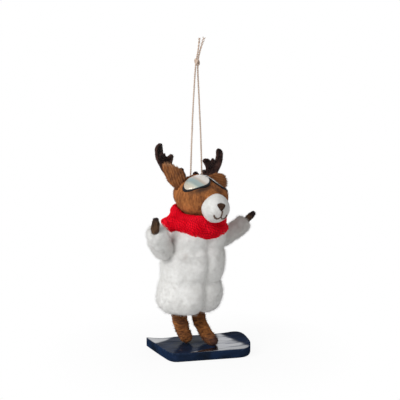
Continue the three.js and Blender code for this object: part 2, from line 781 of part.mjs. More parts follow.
const body_from = hem_height + hem_recess;
const neck_to = head_middle.z;
const head_space = solid(headForm(seat_gap));
const arm_routes = {
  right: armRoute(right_arm, right_arm_route_shares),
  left: armRoute(left_arm, left_arm_route_shares),
};
const arm_spaces = [armhole(arm_routes.left, left_arm.side), armhole(arm_routes.right, right_arm.side)];
const leg_spaces = [left_leg, right_leg].map((size) => leg(size, seat_gap));

let body = bodyForm(body_from, neck_to, 0).subtract(head_space);
let coat = coatForm(0).subtract(bodyForm(hem_height - cut_overrun, neck_to, seat_gap));
for (const space of arm_spaces) {
  body = body.subtract(space);
  coat = coat.subtract(space);
}
for (const space of leg_spaces) {
  body = body.subtract(space);
}
addPiece('body_core', body, colours.wool);
addPiece('coat', coat, colours.coat_felt);

for (const [name, size] of [['right', right_leg], ['left', left_leg]]) {
  addPiece(`leg_${name}`, aboveDeck(leg(size, 0)).subtract(legWire(size, seat_gap)), colours.wool);
  addPiece(`leg_wire_${name}`, legWire(size, 0), colours.steel);
}

const scarf_neighbours = [
  solid(headForm(2 * seat_gap)), solid(muzzleForm(2 * seat_gap)), coatForm(seat_gap),
  bodyForm(body_from, neck_to, seat_gap), ...arm_spaces,
];
const scarf_solid = scarf_neighbours.reduce((rest, space) => rest.subtract(space), scarf());
addPiece('scarf', scarf_solid, colours.red_knit);

addPiece('head', solid(headForm(0)).subtract(goggleSeat()), colours.head_wool);
const muzzle = solid(muzzleForm(0)).subtract(head_space).subtract(mouthThreads(seat_gap));
addPiece('muzzle', muzzle, colours.muzzle_wool);
addPiece('nose', nose(), colours.nose_felt);
addPiece('mouth_stitch', mouthThreads(0).subtract(head_space), colours.nose_felt);
for (const [name, side] of Object.entries(ears)) {
  addPiece(`ear_${name}`, ear(side).subtract(head_space), colours.plush);
}
for (const [name, side] of Object.entries(antlers)) {
  addPiece(`antler_${name}`, antler(side).subtract(head_space), colours.antler_felt);
}
addPiece('goggle_frame', goggleFrame(), colours.rim);
addPiece('goggle_lens_right', goggleLens(-1), colours.mirror_film);
addPiece('goggle_lens_left', goggleLens(1), colours.mirror_film);

for (const [name, route] of Object.entries(arm_routes)) {
  const wire_space = armWire(route, seat_gap);
  const sleeve_solid = sleeve(route, 0).subtract(hand(route, seat_gap)).subtract(wire_space);
  addPiece(`sleeve_${name}`, sleeve_solid, colours.coat_felt);
  addPiece(`hand_${name}`, hand(route, 0).subtract(wire_space), colours.hoof_wool);
  addPiece(`arm_wire_${name}`, armWire(route, 0), colours.steel);
}

const knot_space = solid(knotForm(seat_gap));
addPiece('twine_knot', solid(knotForm(0)), colours.jute);
for (const [name, side] of [['right', -1], ['left', 1]]) {
  const knot_end = { ...knot_middle, x: knot_middle.x + side * (twine_diameter + seat_gap) / 2 };
  const strand = twine([...strand_routes[name], knot_end]).subtract(knot_space).subtract(head_space);
  const tail = twine([knot_end, ...tail_routes[name]]).subtract(knot_space);
  addPiece(`twine_strand_${name}`, strand, colours.jute);
  addPiece(`twine_tail_${name}`, tail, colours.jute);
}

export default group;
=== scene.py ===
import math

import bpy
import numpy as np
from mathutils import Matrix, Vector


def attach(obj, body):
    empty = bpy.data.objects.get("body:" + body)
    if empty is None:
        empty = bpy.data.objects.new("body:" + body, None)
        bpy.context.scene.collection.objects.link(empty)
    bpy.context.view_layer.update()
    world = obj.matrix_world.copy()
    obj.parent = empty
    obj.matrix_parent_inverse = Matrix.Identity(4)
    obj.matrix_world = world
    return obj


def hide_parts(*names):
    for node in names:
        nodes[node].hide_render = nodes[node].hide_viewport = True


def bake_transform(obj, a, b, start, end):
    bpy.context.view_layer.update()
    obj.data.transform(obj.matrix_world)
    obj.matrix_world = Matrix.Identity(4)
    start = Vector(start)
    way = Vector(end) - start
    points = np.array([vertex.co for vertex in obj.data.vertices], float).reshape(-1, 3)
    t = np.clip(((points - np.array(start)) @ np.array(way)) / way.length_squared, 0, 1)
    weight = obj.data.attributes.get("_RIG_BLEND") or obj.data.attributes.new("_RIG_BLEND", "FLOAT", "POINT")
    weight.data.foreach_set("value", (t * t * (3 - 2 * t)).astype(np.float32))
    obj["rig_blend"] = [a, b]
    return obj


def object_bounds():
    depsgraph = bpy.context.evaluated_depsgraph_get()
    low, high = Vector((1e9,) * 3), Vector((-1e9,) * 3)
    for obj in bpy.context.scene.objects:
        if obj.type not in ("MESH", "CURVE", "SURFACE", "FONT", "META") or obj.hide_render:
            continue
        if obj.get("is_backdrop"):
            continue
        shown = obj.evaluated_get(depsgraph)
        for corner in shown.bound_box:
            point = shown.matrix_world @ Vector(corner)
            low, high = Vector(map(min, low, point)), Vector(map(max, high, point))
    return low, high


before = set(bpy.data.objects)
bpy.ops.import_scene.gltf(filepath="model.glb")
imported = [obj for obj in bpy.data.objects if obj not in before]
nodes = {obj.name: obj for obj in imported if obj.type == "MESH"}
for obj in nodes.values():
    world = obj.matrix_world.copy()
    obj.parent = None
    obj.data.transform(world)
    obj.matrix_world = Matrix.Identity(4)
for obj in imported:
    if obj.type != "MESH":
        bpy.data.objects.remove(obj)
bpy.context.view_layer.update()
mm = 0.001

# Camera
# The photograph is taken from the deer's right front, a little above the board, with a long lens.
view_azimuth, view_elevation, view_distance = math.radians(-28), math.radians(11), 0.76
view_back = Vector((
    math.sin(view_azimuth) * math.cos(view_elevation),
    -math.cos(view_azimuth) * math.cos(view_elevation),
    math.sin(view_elevation)))
view_middle = Vector((3.3, 5.5, 93)) * mm
camera = bpy.data.objects.new("camera", bpy.data.cameras.new("camera"))
camera.data.sensor_width = 36
camera.data.lens = 114
camera.data.clip_start = 0.01
camera.location = view_middle + view_back * view_distance
camera.rotation_mode = "QUATERNION"
camera.rotation_quaternion = (-view_back).to_track_quat("-Z", "Y")
bpy.context.scene.collection.objects.link(camera)
bpy.context.scene.camera = camera
bpy.context.scene.view_settings.view_transform = "Standard"


# Twine
# A loop of thin two-ply twine comes out of the crown on both sides, is tied in one tight overhand knot, and
# goes on in two short cut ends, the deer's left one frayed. The loop is held up from above.
def node(tree, kind, sockets=(), **settings):
    """A shader node with its settings, whose sockets take values or other nodes' outputs."""
    made = tree.nodes.new("ShaderNode" + kind)
    for name, value in settings.items():
        setattr(made, name, value)
    for socket, value in dict(sockets).items():
        if isinstance(value, bpy.types.NodeSocket):
            tree.links.new(value, made.inputs[socket])
        else:
            made.inputs[socket].default_value = value
    return made


def mixed(tree, factor, first, second):
    """The colour between two colours at a factor."""
    return node(tree, "Mix", {0: factor, 6: first, 7: second}, data_type="RGBA").outputs[2]


def spread(tree, value, low, high, to_low=0.0, to_high=1.0):
    """A value stretched from one range to another, and held inside it."""
    return node(tree, "MapRange", {0: value, 1: low, 2: high, 3: to_low, 4: to_high}).outputs[0]


def numbers(tree, operation, first, second, third=0.5, clamp=False):
    """What an operation makes of two or three numbers."""
    made = node(tree, "Math", {0: first, 1: second, 2: third}, operation=operation, use_clamp=clamp)
    return made.outputs[0]


def vectors(tree, operation, first, second=(0, 0, 0)):
    """What an operation makes of one or two vectors: a vector, or a number for a product or a length."""
    made = node(tree, "VectorMath", {0: first, 1: second}, operation=operation)
    return made.outputs["Value" if operation in ("DOT_PRODUCT", "LENGTH") else "Vector"]


def noise(tree, vector, scale, detail, roughness=0.5, as_vector=False):
    """Smooth noise over a surface, as a value or as a vector."""
    made = node(tree, "TexNoise", {
        "Vector": vector, "Scale": scale, "Detail": detail, "Roughness": roughness})
    return made.outputs[1 if as_vector else 0]


def point_value(tree, tint):
    """The value that give_tint has set at each point of the piece."""
    return node(tree, "Attribute", attribute_name=tint).outputs["Fac"]


def raise_grain(tree, shader, height, strength, distance):
    """Gives a shader a bump from a height that changes over the surface."""
    relief = node(tree, "Bump", {"Strength": strength, "Distance": distance, "Height": height})
    tree.links.new(relief.outputs[0], shader.inputs["Normal"])


def empty_tree(owner):
    """The node tree of a material or a world, with nothing in it."""
    owner.use_nodes = True
    owner.node_tree.nodes.clear()
    return owner.node_tree


def new_material(name, sockets):
    """A material with a Principled shader whose sockets are set, and its tree and shader."""
    material = bpy.data.materials.new(name)
    tree = empty_tree(material)
    shader = node(tree, "BsdfPrincipled", sockets)
    node(tree, "OutputMaterial", {"Surface": shader.outputs[0]})
    return material, tree, shader


def new_group(name, inputs, outputs):
    """An empty node group with named sockets: its tree, what it is given and what it gives."""
    tree = bpy.data.node_groups.new(name, "ShaderNodeTree")
    for title, kind in inputs.items():
        tree.interface.new_socket(title, in_out="INPUT", socket_type="NodeSocket" + kind)
    for title, kind in outputs.items():
        tree.interface.new_socket(title, in_out="OUTPUT", socket_type="NodeSocket" + kind)
    return tree, tree.nodes.new("NodeGroupInput").outputs, tree.nodes.new("NodeGroupOutput").inputs


# Strands of wool or twine: long streaks along a grain, and broad uneven patches
strands, given, gives = new_group(
    "wool strands",
    {"Light": "Color", "Dark": "Color", "Grain": "Vector", "Strand Scale": "Float",
     "Patch Scale": "Float", "Contrast": "Float"},
    {"Colour": "Color", "Height": "Float"})
strand_drift = 0.0016
place = node(strands, "TexCoord").outputs["Object"]
drift = noise(strands, place, given["Patch Scale"], 2.0, as_vector=True)
drifted = vectors(strands, "MULTIPLY", drift, (strand_drift, strand_drift, strand_drift))
combed = vectors(strands, "MULTIPLY", vectors(strands, "ADD", place, drifted), given["Grain"])
strand = noise(strands, combed, given["Strand Scale"], 5.0, 0.62)
patch = noise(strands, place, given["Patch Scale"], 3.0)
streak, blotch = spread(strands, strand, 0.36, 0.64), spread(strands, patch, 0.3, 0.7)
both = numbers(strands, "ADD", numbers(strands, "ADD", streak, blotch), -1.0)
share = numbers(strands, "MULTIPLY_ADD", both, given["Contrast"], 0.5, clamp=True)
strands.links.new(mixed(strands, share, given["Dark"], given["Light"]), gives["Colour"])
strands.links.new(strand, gives["Height"])


def wool(name, light, dark, grain=(1, 1, 0.25), strand_scale=900.0, patch_scale=110.0, contrast=0.5,
         sheen=0.04, depth=0.25, **tints):
    """Wool whose strands run where the grain is small, in other colours where the tints say."""
    material, tree, shader = new_material(name, {
        "Roughness": 0.95, "Specular IOR Level": 0.08, "Sheen Weight": sheen, "Sheen Roughness": 0.5})
    coloured = node(tree, "Group", {
        "Light": (*light, 1), "Dark": (*dark, 1), "Grain": grain, "Strand Scale": strand_scale,
        "Patch Scale": patch_scale, "Contrast": contrast}, node_tree=strands)
    colour = coloured.outputs["Colour"]
    for tint, tint_colour in tints.items():
        colour = mixed(tree, point_value(tree, tint), colour, (*tint_colour, 1))
    tree.links.new(colour, shader.inputs["Base Color"])
    raise_grain(tree, shader, coloured.outputs["Height"], depth, 0.0005)
    return material


def new_piece(name, points, faces, material):
    """A named closed mesh with its faces turned outwards."""
    points = np.asarray(points, float)
    corners = np.array([(face[0], face[k], face[k + 1]) for face in faces for k in range(1, len(face) - 1)])
    a, b, c = points[corners[:, 0]], points[corners[:, 1]], points[corners[:, 2]]
    if (np.cross(a, b) * c).sum() < 0:
        faces = [face[::-1] for face in faces]
    mesh = bpy.data.meshes.new(name)
    mesh.from_pydata(points.tolist(), [], faces)
    mesh.validate()
    mesh.polygons.foreach_set("use_smooth", [True] * len(mesh.polygons))
    mesh.materials.append(material)
    piece = bpy.data.objects.new(name, mesh)
    bpy.context.scene.collection.objects.link(piece)
    return piece


def give_tint(piece, tint, values):
    """Sets how strongly a tint shows at each of a piece's points; missing end points get none."""
    values = np.append(np.clip(np.asarray(values, float).ravel(), 0, 1), np.zeros(len(piece.data.vertices)))
    attribute = piece.data.attributes.new(tint, "FLOAT", "POINT")
    attribute.data.foreach_set("value", values[:len(piece.data.vertices)].astype(np.float32))


def distances(path):
    """How far along a path each of its points lies."""
    return np.concatenate([[0], np.cumsum(np.linalg.norm(np.diff(path, axis=0), axis=1))])


def length_of(path):
    """Length of a path from its first point to its last."""
    return float(distances(path)[-1])


def smooth_route(points, steps, shares=None):
    """Points along a smooth curve through the given ones, at even distances or at shares of its length."""
    points = np.array(points, float)
    ends = np.vstack([2 * points[0] - points[1], points, 2 * points[-1] - points[-2]])
    fine = []
    for a, b, c, d in zip(ends[:-3], ends[1:-2], ends[2:-1], ends[3:]):
        t1 = np.linalg.norm(b - a) ** 0.5
        t2 = t1 + np.linalg.norm(c - b) ** 0.5
        t3 = t2 + np.linalg.norm(d - c) ** 0.5
        for t in np.linspace(t1, t2, 40, endpoint=False):
            ab = a * (t1 - t) / t1 + b * t / t1
            bc = b * (t2 - t) / (t2 - t1) + c * (t - t1) / (t2 - t1)
            cd = c * (t3 - t) / (t3 - t2) + d * (t - t2) / (t3 - t2)
            abc = ab * (t2 - t) / t2 + bc * t / t2
            bcd = bc * (t3 - t) / (t3 - t1) + cd * (t - t1) / (t3 - t1)
            fine.append(abc * (t2 - t) / (t2 - t1) + bcd * (t - t1) / (t2 - t1))
    fine = np.array(fine + [points[-1]])
    distance = distances(fine)
    if shares is None:
        shares = np.linspace(0, 1, steps + 1)
    wanted = np.asarray(shares) * distance[-1]
    return np.stack([np.interp(wanted, distance, fine[:, axis]) for axis in range(3)], 1)


def directions(path):
    """Unit directions along a path at its points."""
    tangents = np.gradient(path, axis=0)
    return tangents / np.linalg.norm(tangents, axis=1)[:, None]


def axes_along(path):
    """Two unit directions square to a path at each of its points, which turn no more than they must."""
    tangents = directions(path)
    across = np.cross(tangents[0], (0.31, 0.92, 0.24))
    sides, ups = [], []
    for tangent in tangents:
        across = across - tangent * (across @ tangent)
        across = across / np.linalg.norm(across)
        sides.append(across)
        ups.append(np.cross(tangent, across))
    return np.array(sides), np.array(ups)


def rings_along(path, radii, around):
    """Round rings of points about a path, one for each radius."""
    sides, ups = axes_along(path)
    turn = np.arange(around) * math.tau / around
    radii = np.broadcast_to(np.asarray(radii, float), (len(path),))[:, None, None]
    return path[:, None] + radii * (
        np.cos(turn)[None, :, None] * sides[:, None] + np.sin(turn)[None, :, None] * ups[:, None])


def skin(rings, closed=False):
    """Points and faces of a closed skin over a row of rings; a closed row comes round to its first ring."""
    count, around = rings.shape[:2]
    here = np.arange(count if closed else count - 1)[:, None] * around + np.arange(around)[None]
    beside = here - np.arange(around)[None] + (np.arange(around)[None] + 1) % around
    total = count * around
    corners = [here, beside, (beside + around) % total, (here + around) % total]
    faces = np.stack(corners, -1).reshape(-1, 4).tolist()
    points = rings.reshape(-1, 3)
    if not closed:
        points = np.vstack([points, rings[0].mean(0), rings[-1].mean(0)])
        last = (count - 1) * around
        for side in range(around):
            after = (side + 1) % around
            faces.append([total, after, side])
            faces.append([total + 1, last + side, last + after])
    return points, faces


def joined(*parts):
    """Points and faces of several skins as one."""
    points, faces, offset = [], [], 0
    for some_points, some_faces in parts:
        points.append(some_points)
        faces += [[index + offset for index in face] for face in some_faces]
        offset += len(some_points)
    return np.vstack(points), faces


def loose_fibres(name, piece, count, length, lift, seed, grain=(0, 0, 0), thickness=0.06 * mm):
    """Fibres that have worked loose from a piece, each a thin closed spike that bends over once."""
    random = np.random.default_rng(seed)
    grain_pull, bend_share, root_depth, thinning = 2.2, 0.55, 0.12 * mm, 0.7
    mesh = piece.data
    mesh.calc_loop_triangles()
    corners = np.array([triangle.vertices for triangle in mesh.loop_triangles])
    points = np.array([vertex.co for vertex in mesh.vertices])
    a, b, c = points[corners[:, 0]], points[corners[:, 1]], points[corners[:, 2]]
    normals = np.cross(b - a, c - a)
    areas = np.linalg.norm(normals, axis=1)
    chosen = random.choice(len(areas), count, p=areas / areas.sum())
    u, v = random.random((2, count, 1))
    u, v = np.where(u + v > 1, 1 - u, u), np.where(u + v > 1, 1 - v, v)
    root = a[chosen] + u * (b - a)[chosen] + v * (c - a)[chosen]
    normal = normals[chosen] / areas[chosen][:, None]
    lean = random.normal(size=(count, 3)) + grain_pull * np.array(grain, float)
    lean -= (lean * normal).sum(1)[:, None] * normal
    lean /= np.linalg.norm(lean, axis=1)[:, None]
    reach = length * random.uniform(0.45, 1, (count, 1))
    rise = lift * random.uniform(0.15, 1, (count, 1)) ** 1.6
    side = np.cross(normal, lean)
    middle = root + bend_share * reach * lean + rise * normal
    tip = root + reach * (lean + random.normal(scale=0.25, size=(count, 1)) * side) + (
        rise * random.uniform(0.2, 1.5, (count, 1)) * normal)
    turn = np.array([0.25, 0.5833, 0.9167]) * math.tau
    star = thickness * (
        np.cos(turn)[None, :, None] * side[:, None] + np.sin(turn)[None, :, None] * normal[:, None])
    low = (root - root_depth * normal)[:, None] + star
    high = middle[:, None] + thinning * star
    spikes = np.concatenate([low, high, tip[:, None]], 1).reshape(-1, 3)
    start = (np.arange(count) * 7)[:, None]
    faces = (start + np.array([2, 1, 0])).tolist()
    for k in range(3):
        after = (k + 1) % 3
        faces += (start + np.array([k, after, after + 3, k + 3])).tolist()
        faces += (start + np.array([k + 3, after + 3, 6])).tolist()
    fibres = new_piece(name, spikes, faces, mesh.materials[0])
    for tint in mesh.attributes:
        if tint.data_type == "FLOAT" and tint.domain == "POINT":
            values = np.zeros(len(mesh.vertices), np.float32)
            tint.data.foreach_get("value", values)
            give_tint(fibres, tint.name, np.repeat(values[corners[chosen, 0]], 7))
    return fibres


def fasten(body, slot, *pieces):
    """Makes pieces ride on a body; the slot is not used."""
    for piece in pieces:
        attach(piece, body)


ply_offset, ply_radius, ply_pitch = 0.22, 0.3, 2.6
fray_from, fray_shares = 0.91, {"right": 0.12, "left": 0.5}
twine_fibre = wool("twine", (0.74, 0.6, 0.5), (0.5, 0.37, 0.29), grain=(1, 1, 0.5), strand_scale=1400.0,
                   patch_scale=60.0, contrast=0.5)
knot_middle = np.array([2.9, 8.5, 175.4])
twine_routes = {
    "right": [(-1, 9.5, 106), (-0.2, 9.3, 131), (0.7, 8.9, 153), (2.25, 8.5, 175.4), (3.6, 8.5, 182),
              (4.6, 8.6, 189.4)],
    "left": [(6.7, 9.5, 105.6), (5.8, 9.3, 131), (4.5, 8.9, 153), (3.55, 8.5, 175.4), (5, 8.3, 182.6),
             (7.5, 8.2, 189.8)],
}
turn_of_knot = np.linspace(0, math.tau, 140, endpoint=False)
knot_route = np.stack([
    (0.88 + 0.36 * np.cos(3 * turn_of_knot)) * np.cos(2 * turn_of_knot),
    (0.88 + 0.36 * np.cos(3 * turn_of_knot)) * np.sin(2 * turn_of_knot),
    1.62 * np.sin(3 * turn_of_knot)], 1)
knot_rings = rings_along((knot_route + knot_middle) * mm, 0.52 * mm, 8)
knot = new_piece("knot", *skin(knot_rings, closed=True), twine_fibre)
fasten("figure", "twine", knot)
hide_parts("twine_knot")
for side_name, route in twine_routes.items():
    path = smooth_route(route, 420) * mm
    share = np.linspace(0, 1, len(path))
    across, up = axes_along(path)
    frayed = np.clip((share - fray_from) / (1 - fray_from), 0, 1) * fray_shares[side_name]
    plies = []
    for half_turn in (0, math.pi):
        twist = share * length_of(path) / (ply_pitch * mm) * math.tau * (1 - 0.3 * frayed) + half_turn
        twist = twist + 2.0 * frayed
        offset = (ply_offset + 0.9 * frayed)[:, None] * mm
        ply = path + offset * (np.cos(twist)[:, None] * across + np.sin(twist)[:, None] * up)
        plies.append(skin(rings_along(ply, (ply_radius - 0.12 * frayed) * mm, 7)))
    strand_piece = new_piece("twine_" + side_name, *joined(*plies), twine_fibre)
    fibres = loose_fibres("twine_fibres_" + side_name, strand_piece, 260, 1.6 * mm, 0.35 * mm, 5,
                          (0, 0, 1), 0.035 * mm)
    fasten("figure", "twine", strand_piece, fibres)
    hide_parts("twine_strand_" + side_name, "twine_tail_" + side_name)


# Floor, backdrop and light
# A white sweep under a broad soft lamp at the viewer's left, with a weaker one at the right.
def seen_directly(tree):
    """1 for what is seen directly, in a mirror or through glass, and 0 for light on the figure."""
    ray = node(tree, "LightPath").outputs
    mirrored = numbers(tree, "MAXIMUM", ray["Is Camera Ray"], ray["Is Glossy Ray"])
    return numbers(tree, "MAXIMUM", mirrored, ray["Is Transmission Ray"])


floor_reach, floor_height = 8.0, -0.0002
floor_corners = [(x * floor_reach, y * floor_reach, floor_height)
                 for x, y in ((-1, -1), (1, -1), (1, 1), (-1, 1))]
floor_mesh = bpy.data.meshes.new("floor")
floor_mesh.from_pydata(floor_corners, [], [(0, 1, 2, 3)])
floor = bpy.data.objects.new("floor", floor_mesh)
bpy.context.scene.collection.objects.link(floor)
floor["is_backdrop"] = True
floor_paint = bpy.data.materials.new("floor paint")
tree = empty_tree(floor_paint)
distance = vectors(tree, "LENGTH", node(tree, "TexCoord").outputs["Object"])
whiteness = spread(tree, distance, 0.03, 0.1, 0.92, 1.0)
glow = numbers(tree, "MULTIPLY", seen_directly(tree), whiteness)
matt = node(tree, "BsdfDiffuse", {"Color": (0.86, 0.86, 0.86, 1)})
white = node(tree, "Emission", {"Color": (1, 1, 1, 1), "Strength": 1.0})
floor_mix = node(tree, "MixShader", {0: glow, 1: matt.outputs[0], 2: white.outputs[0]})
node(tree, "OutputMaterial", {"Surface": floor_mix.outputs[0]})
floor_mesh.materials.append(floor_paint)

world = bpy.data.worlds.new("studio")
bpy.context.scene.world = world
tree = empty_tree(world)
room_light = 0.36
strength = spread(tree, seen_directly(tree), 0.0, 1.0, room_light, 1.0)
air = node(tree, "Background", {"Color": (1, 1, 1, 1), "Strength": strength})
node(tree, "OutputWorld", {"Surface": air.outputs[0]})

viewer_right = Vector((math.cos(view_azimuth), math.sin(view_azimuth), 0))
for name, aside, toward, above, size, power in (
        ("lamp left", -0.6, 0.55, 0.42, 0.5, 6.6), ("lamp right", 0.6, 0.55, 0.3, 0.5, 0.4)):
    lamp = bpy.data.objects.new(name, bpy.data.lights.new(name, "AREA"))
    lamp.data.size = size
    lamp.data.energy = power
    lamp.location = view_middle + viewer_right * aside + view_back * toward + Vector((0, 0, above))
    lamp.rotation_mode = "QUATERNION"
    lamp.rotation_quaternion = (view_middle - lamp.location).to_track_quat("-Z", "Y")
    bpy.context.scene.collection.objects.link(lamp)

# Snowboard
# A hand-cut slip of wood, blunt at one end and round at the other, with both ends bent up a little, dipped
# in glossy navy lacquer that has pooled in faint streaks and is rubbed thin along the edges.
board_length, board_width, board_thickness = 61, 35, 5.6
board_tip_rise, board_flat_share, board_yaw = 1.6, 0.6, math.radians(-14)
board_start = (-0.56, -0.95)
board_sides = [
    [(0.76, -1)], [(0.95, -0.97), (0.985, -0.3)], [(1.01, 0.15), (0.985, 0.55)], [(0.95, 0.98), (0.76, 1)],
    [(-0.9, 0.94)], [(-1, 0.94), (-0.97, 0.78)], [(-0.77, -0.5)], [(-0.72, -0.92), board_start],
]
outline = [np.array(board_start)]
for side in board_sides:
    first, last = outline[-1], np.array(side[-1])
    for t in np.linspace(0, 1, 25)[1:]:
        if len(side) == 1:
            outline.append(first + t * (last - first))
        else:
            outline.append((1 - t) ** 2 * first + 2 * t * (1 - t) * np.array(side[0]) + t * t * last)
outline = np.array(outline[:-1]) * (board_length / 2, board_width / 2)
closed_outline = np.vstack([outline, outline[:1]])
around = distances(closed_outline)
even = np.linspace(0, around[-1], 300, endpoint=False)
outline = np.stack([np.interp(even, around, closed_outline[:, axis]) for axis in range(2)], 1)


def inward_of(line, step):
    """Unit directions into a closed line, square to the way between the points a step before and after."""
    forward = np.roll(line, -step, 0) - np.roll(line, step, 0)
    return np.stack([-forward[:, 1], forward[:, 0]], 1) / np.linalg.norm(forward, axis=1)[:, None]


def lumps(points, size, seed):
    """Smooth random swell from about -1 to 1, with lumps about size across."""
    random = np.random.default_rng(seed)
    total = np.zeros(points.shape[:-1])
    for _ in range(16):
        direction = random.normal(size=3)
        direction /= np.linalg.norm(direction)
        wave = size * random.uniform(0.9, 2.4)
        total += np.sin(points @ direction * math.tau / wave + random.uniform(0, math.tau))
    return total / 4


inward = inward_of(outline, 1)
inner = outline + inward * 0.7
# Inset, height and wear of the lines round the edge, from the underside to the top
edge_steps = [(0.7, 0, 0.2), (0.35, 0.06, 0.6), (0.12, 0.2, 1), (0, 0.5, 0.5), (0, 2.8, 0), (0, 5.1, 0.5),
              (0.12, 5.4, 1), (0.35, 5.54, 0.6), (0.7, 5.6, 0.2)]
board_lines = [(inner * share, 0, 0) for share in (0.03, 0.5, 0.9)]
board_lines += [(outline + inward * inset, height, wear) for inset, height, wear in edge_steps]
board_lines += [(inner * share, board_thickness, 0) for share in np.linspace(0.97, 0.02, 26)]
board_rings = np.array([np.column_stack([line, np.full(len(line), float(height))])
                        for line, height, wear in board_lines])
level = board_rings[..., 2].copy()
tip_share = np.abs(board_rings[..., 0]) / (board_length / 2)
past = np.clip((tip_share - board_flat_share) / (1 - board_flat_share), 0, None)
top_dents = 0.08 * lumps(board_rings, 11.0, 3) * (level > 5)
board_rings[..., 2] += board_tip_rise * past ** 2 + top_dents
side_dents = 0.13 * lumps(board_rings * (1, 1, 0.4), 7.0, 4) * ((level > 0.1) & (level < 5.5))
side_dents *= np.clip((board_rings[..., 0] + 24) / 40, 0.15, 1)
board_rings[..., :2] += side_dents[..., None] * inward[None]
# Gloss is left in two places on the top, clear of the feet and of the far tip, and in one small spot
along, aside = board_rings[..., 0], board_rings[..., 1]
past_far_corner = (aside - 16.4) - 0.92 * (along + 13)
past_feet = along - np.interp(aside, [-17, -15.2, -10.4, 18], [-12, -6.8, 7.7, 16.2])
short_of_tip = 16.6 + 0.31 * (15.9 - aside) - along
far_corner, from_feet, from_tip = (
    np.clip((reach + 2.5) / 4.5, 0, 1) for reach in (past_far_corner, past_feet, short_of_tip))
spot = 0.5 * np.exp(-((along + 14.2) ** 2 + (aside + 11.1) ** 2) / 4)
gloss = np.maximum(np.maximum(far_corner, from_feet * from_tip), spot)
faint_gloss = np.interp(along, (10, 20), (0.12, 0.03))
gloss = np.maximum(gloss * gloss * (3 - 2 * gloss), faint_gloss) * (level > 5.5)
turned = board_rings.copy()
turned[..., 0] = along * math.cos(board_yaw) - aside * math.sin(board_yaw)
turned[..., 1] = along * math.sin(board_yaw) + aside * math.cos(board_yaw)
turned[..., 2] = np.maximum(turned[..., 2], 0)

# The top is seen at a low angle, so the glossy places are part metal, to mirror the pale room strongly
lacquer, tree, shader = new_material("navy lacquer", {
    "Specular IOR Level": 0.0, "Coat Roughness": 0.16, "Coat IOR": 2.6})
place = node(tree, "TexCoord").outputs["Object"]
turned_place = node(tree, "VectorRotate", {"Vector": place, "Angle": -board_yaw}, rotation_type="Z_AXIS")
stretched = vectors(tree, "MULTIPLY", turned_place.outputs[0], (0.16, 1, 1))
brushed = noise(tree, stretched, 520.0, 4.0)
pooled = spread(tree, noise(tree, place, 95.0, 3.0), 0.35, 0.7)
deep = mixed(tree, pooled, (0.009, 0.014, 0.025, 1), (0.012, 0.027, 0.07, 1))
streaked = mixed(tree, spread(tree, brushed, 0.5, 0.75, 0.0, 0.4), deep, (0.022, 0.036, 0.08, 1))
nicks = spread(tree, noise(tree, place, 700.0, 3.0), 0.45, 0.7)
worn = spread(tree, numbers(tree, "MULTIPLY", point_value(tree, "edge"), nicks), 0.15, 0.8, 0.0, 0.5)
tree.links.new(mixed(tree, worn, streaked, (0.06, 0.09, 0.16, 1)), shader.inputs["Base Color"])
patchy = spread(tree, noise(tree, stretched, 300.0, 3.0), 0.38, 0.58, 0.55, 1.5)
mirror = numbers(tree, "MULTIPLY", point_value(tree, "gloss"), patchy, clamp=True)
tree.links.new(mirror, shader.inputs["Coat Weight"])
tree.links.new(spread(tree, mirror, 0.2, 0.8), shader.inputs["Metallic"])
tree.links.new(spread(tree, mirror, 0.1, 0.8, 0.5, 0.2), shader.inputs["Roughness"])
raise_grain(tree, shader, brushed, 0.12, 0.0004)
board = new_piece("board", *skin(turned * mm), lacquer)
give_tint(board, "edge", np.repeat([wear for line, height, wear in board_lines], len(outline)))
give_tint(board, "gloss", gloss)
fasten("figure", "board_lacquer", board)
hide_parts("snowboard")

# Wire cores
# Bare steel wire runs through the wool of both legs and both arms, and lets them be bent and stay so.
steel, tree, shader = new_material("core wire", {"Metallic": 1.0, "Roughness": 0.4})
drawn = noise(tree, node(tree, "TexCoord").outputs["Object"], 900.0, 3.0)
tree.links.new(mixed(tree, drawn, (0.36, 0.35, 0.34, 1), (0.6, 0.6, 0.6, 1)), shader.inputs["Base Color"])
for name in ("leg_wire_right", "leg_wire_left", "arm_wire_right", "arm_wire_left"):
    nodes[name].data.materials.clear()
    nodes[name].data.materials.append(steel)

# Legs
# Brown wool wound tightly round a wire, so that its turns show, and glued to the board at the toe. The deer's
# right leg is thicker and upright; the left one reaches forward and is felted darker at its toe.
hem_height, hem_recess, coat_top = 25.5, 3.5, 79
hem_middle, neck_middle = np.array([-3.6, 8.1]), np.array([1.8, 4.9])
deck, toe_radius, toe_sink = board_thickness + 0.3, 3.5, 0.9
leg_around, winding_pitch = 48, 1.5
# Radius, where the top stands off the hem's middle, how far the toe reaches from there, and its darkness
leg_sizes = {"right": (4.7, (-5.6, 1.6), (4, -7.8), 0), "left": (4.1, (6.6, 1.2), (2.9, -19.5), 0.85)}
leg_wool = wool("wound wool", (0.42, 0.16, 0.045), (0.085, 0.03, 0.012), grain=(0.35, 0.35, 1),
                strand_scale=1000.0, patch_scale=160.0, contrast=0.82, depth=0.5,
                shade=(0.05, 0.026, 0.026))


def rounded(share, stretch):
    """Radius share that closes a limb roundly over its last stretch."""
    into = np.clip((share - 1 + stretch) / stretch, 0, 1)
    return np.sqrt(np.maximum(0, 1 - into ** 2))


def through(shares, share):
    """Smooth value between evenly spaced shares."""
    place = np.asarray(share) * (len(shares) - 1)
    low = np.minimum(np.floor(place).astype(int), len(shares) - 2)
    part = np.clip(place - low, 0, 1)
    values = np.array(shares, float)
    return values[low] + (values[low + 1] - values[low]) * part * part * (3 - 2 * part)


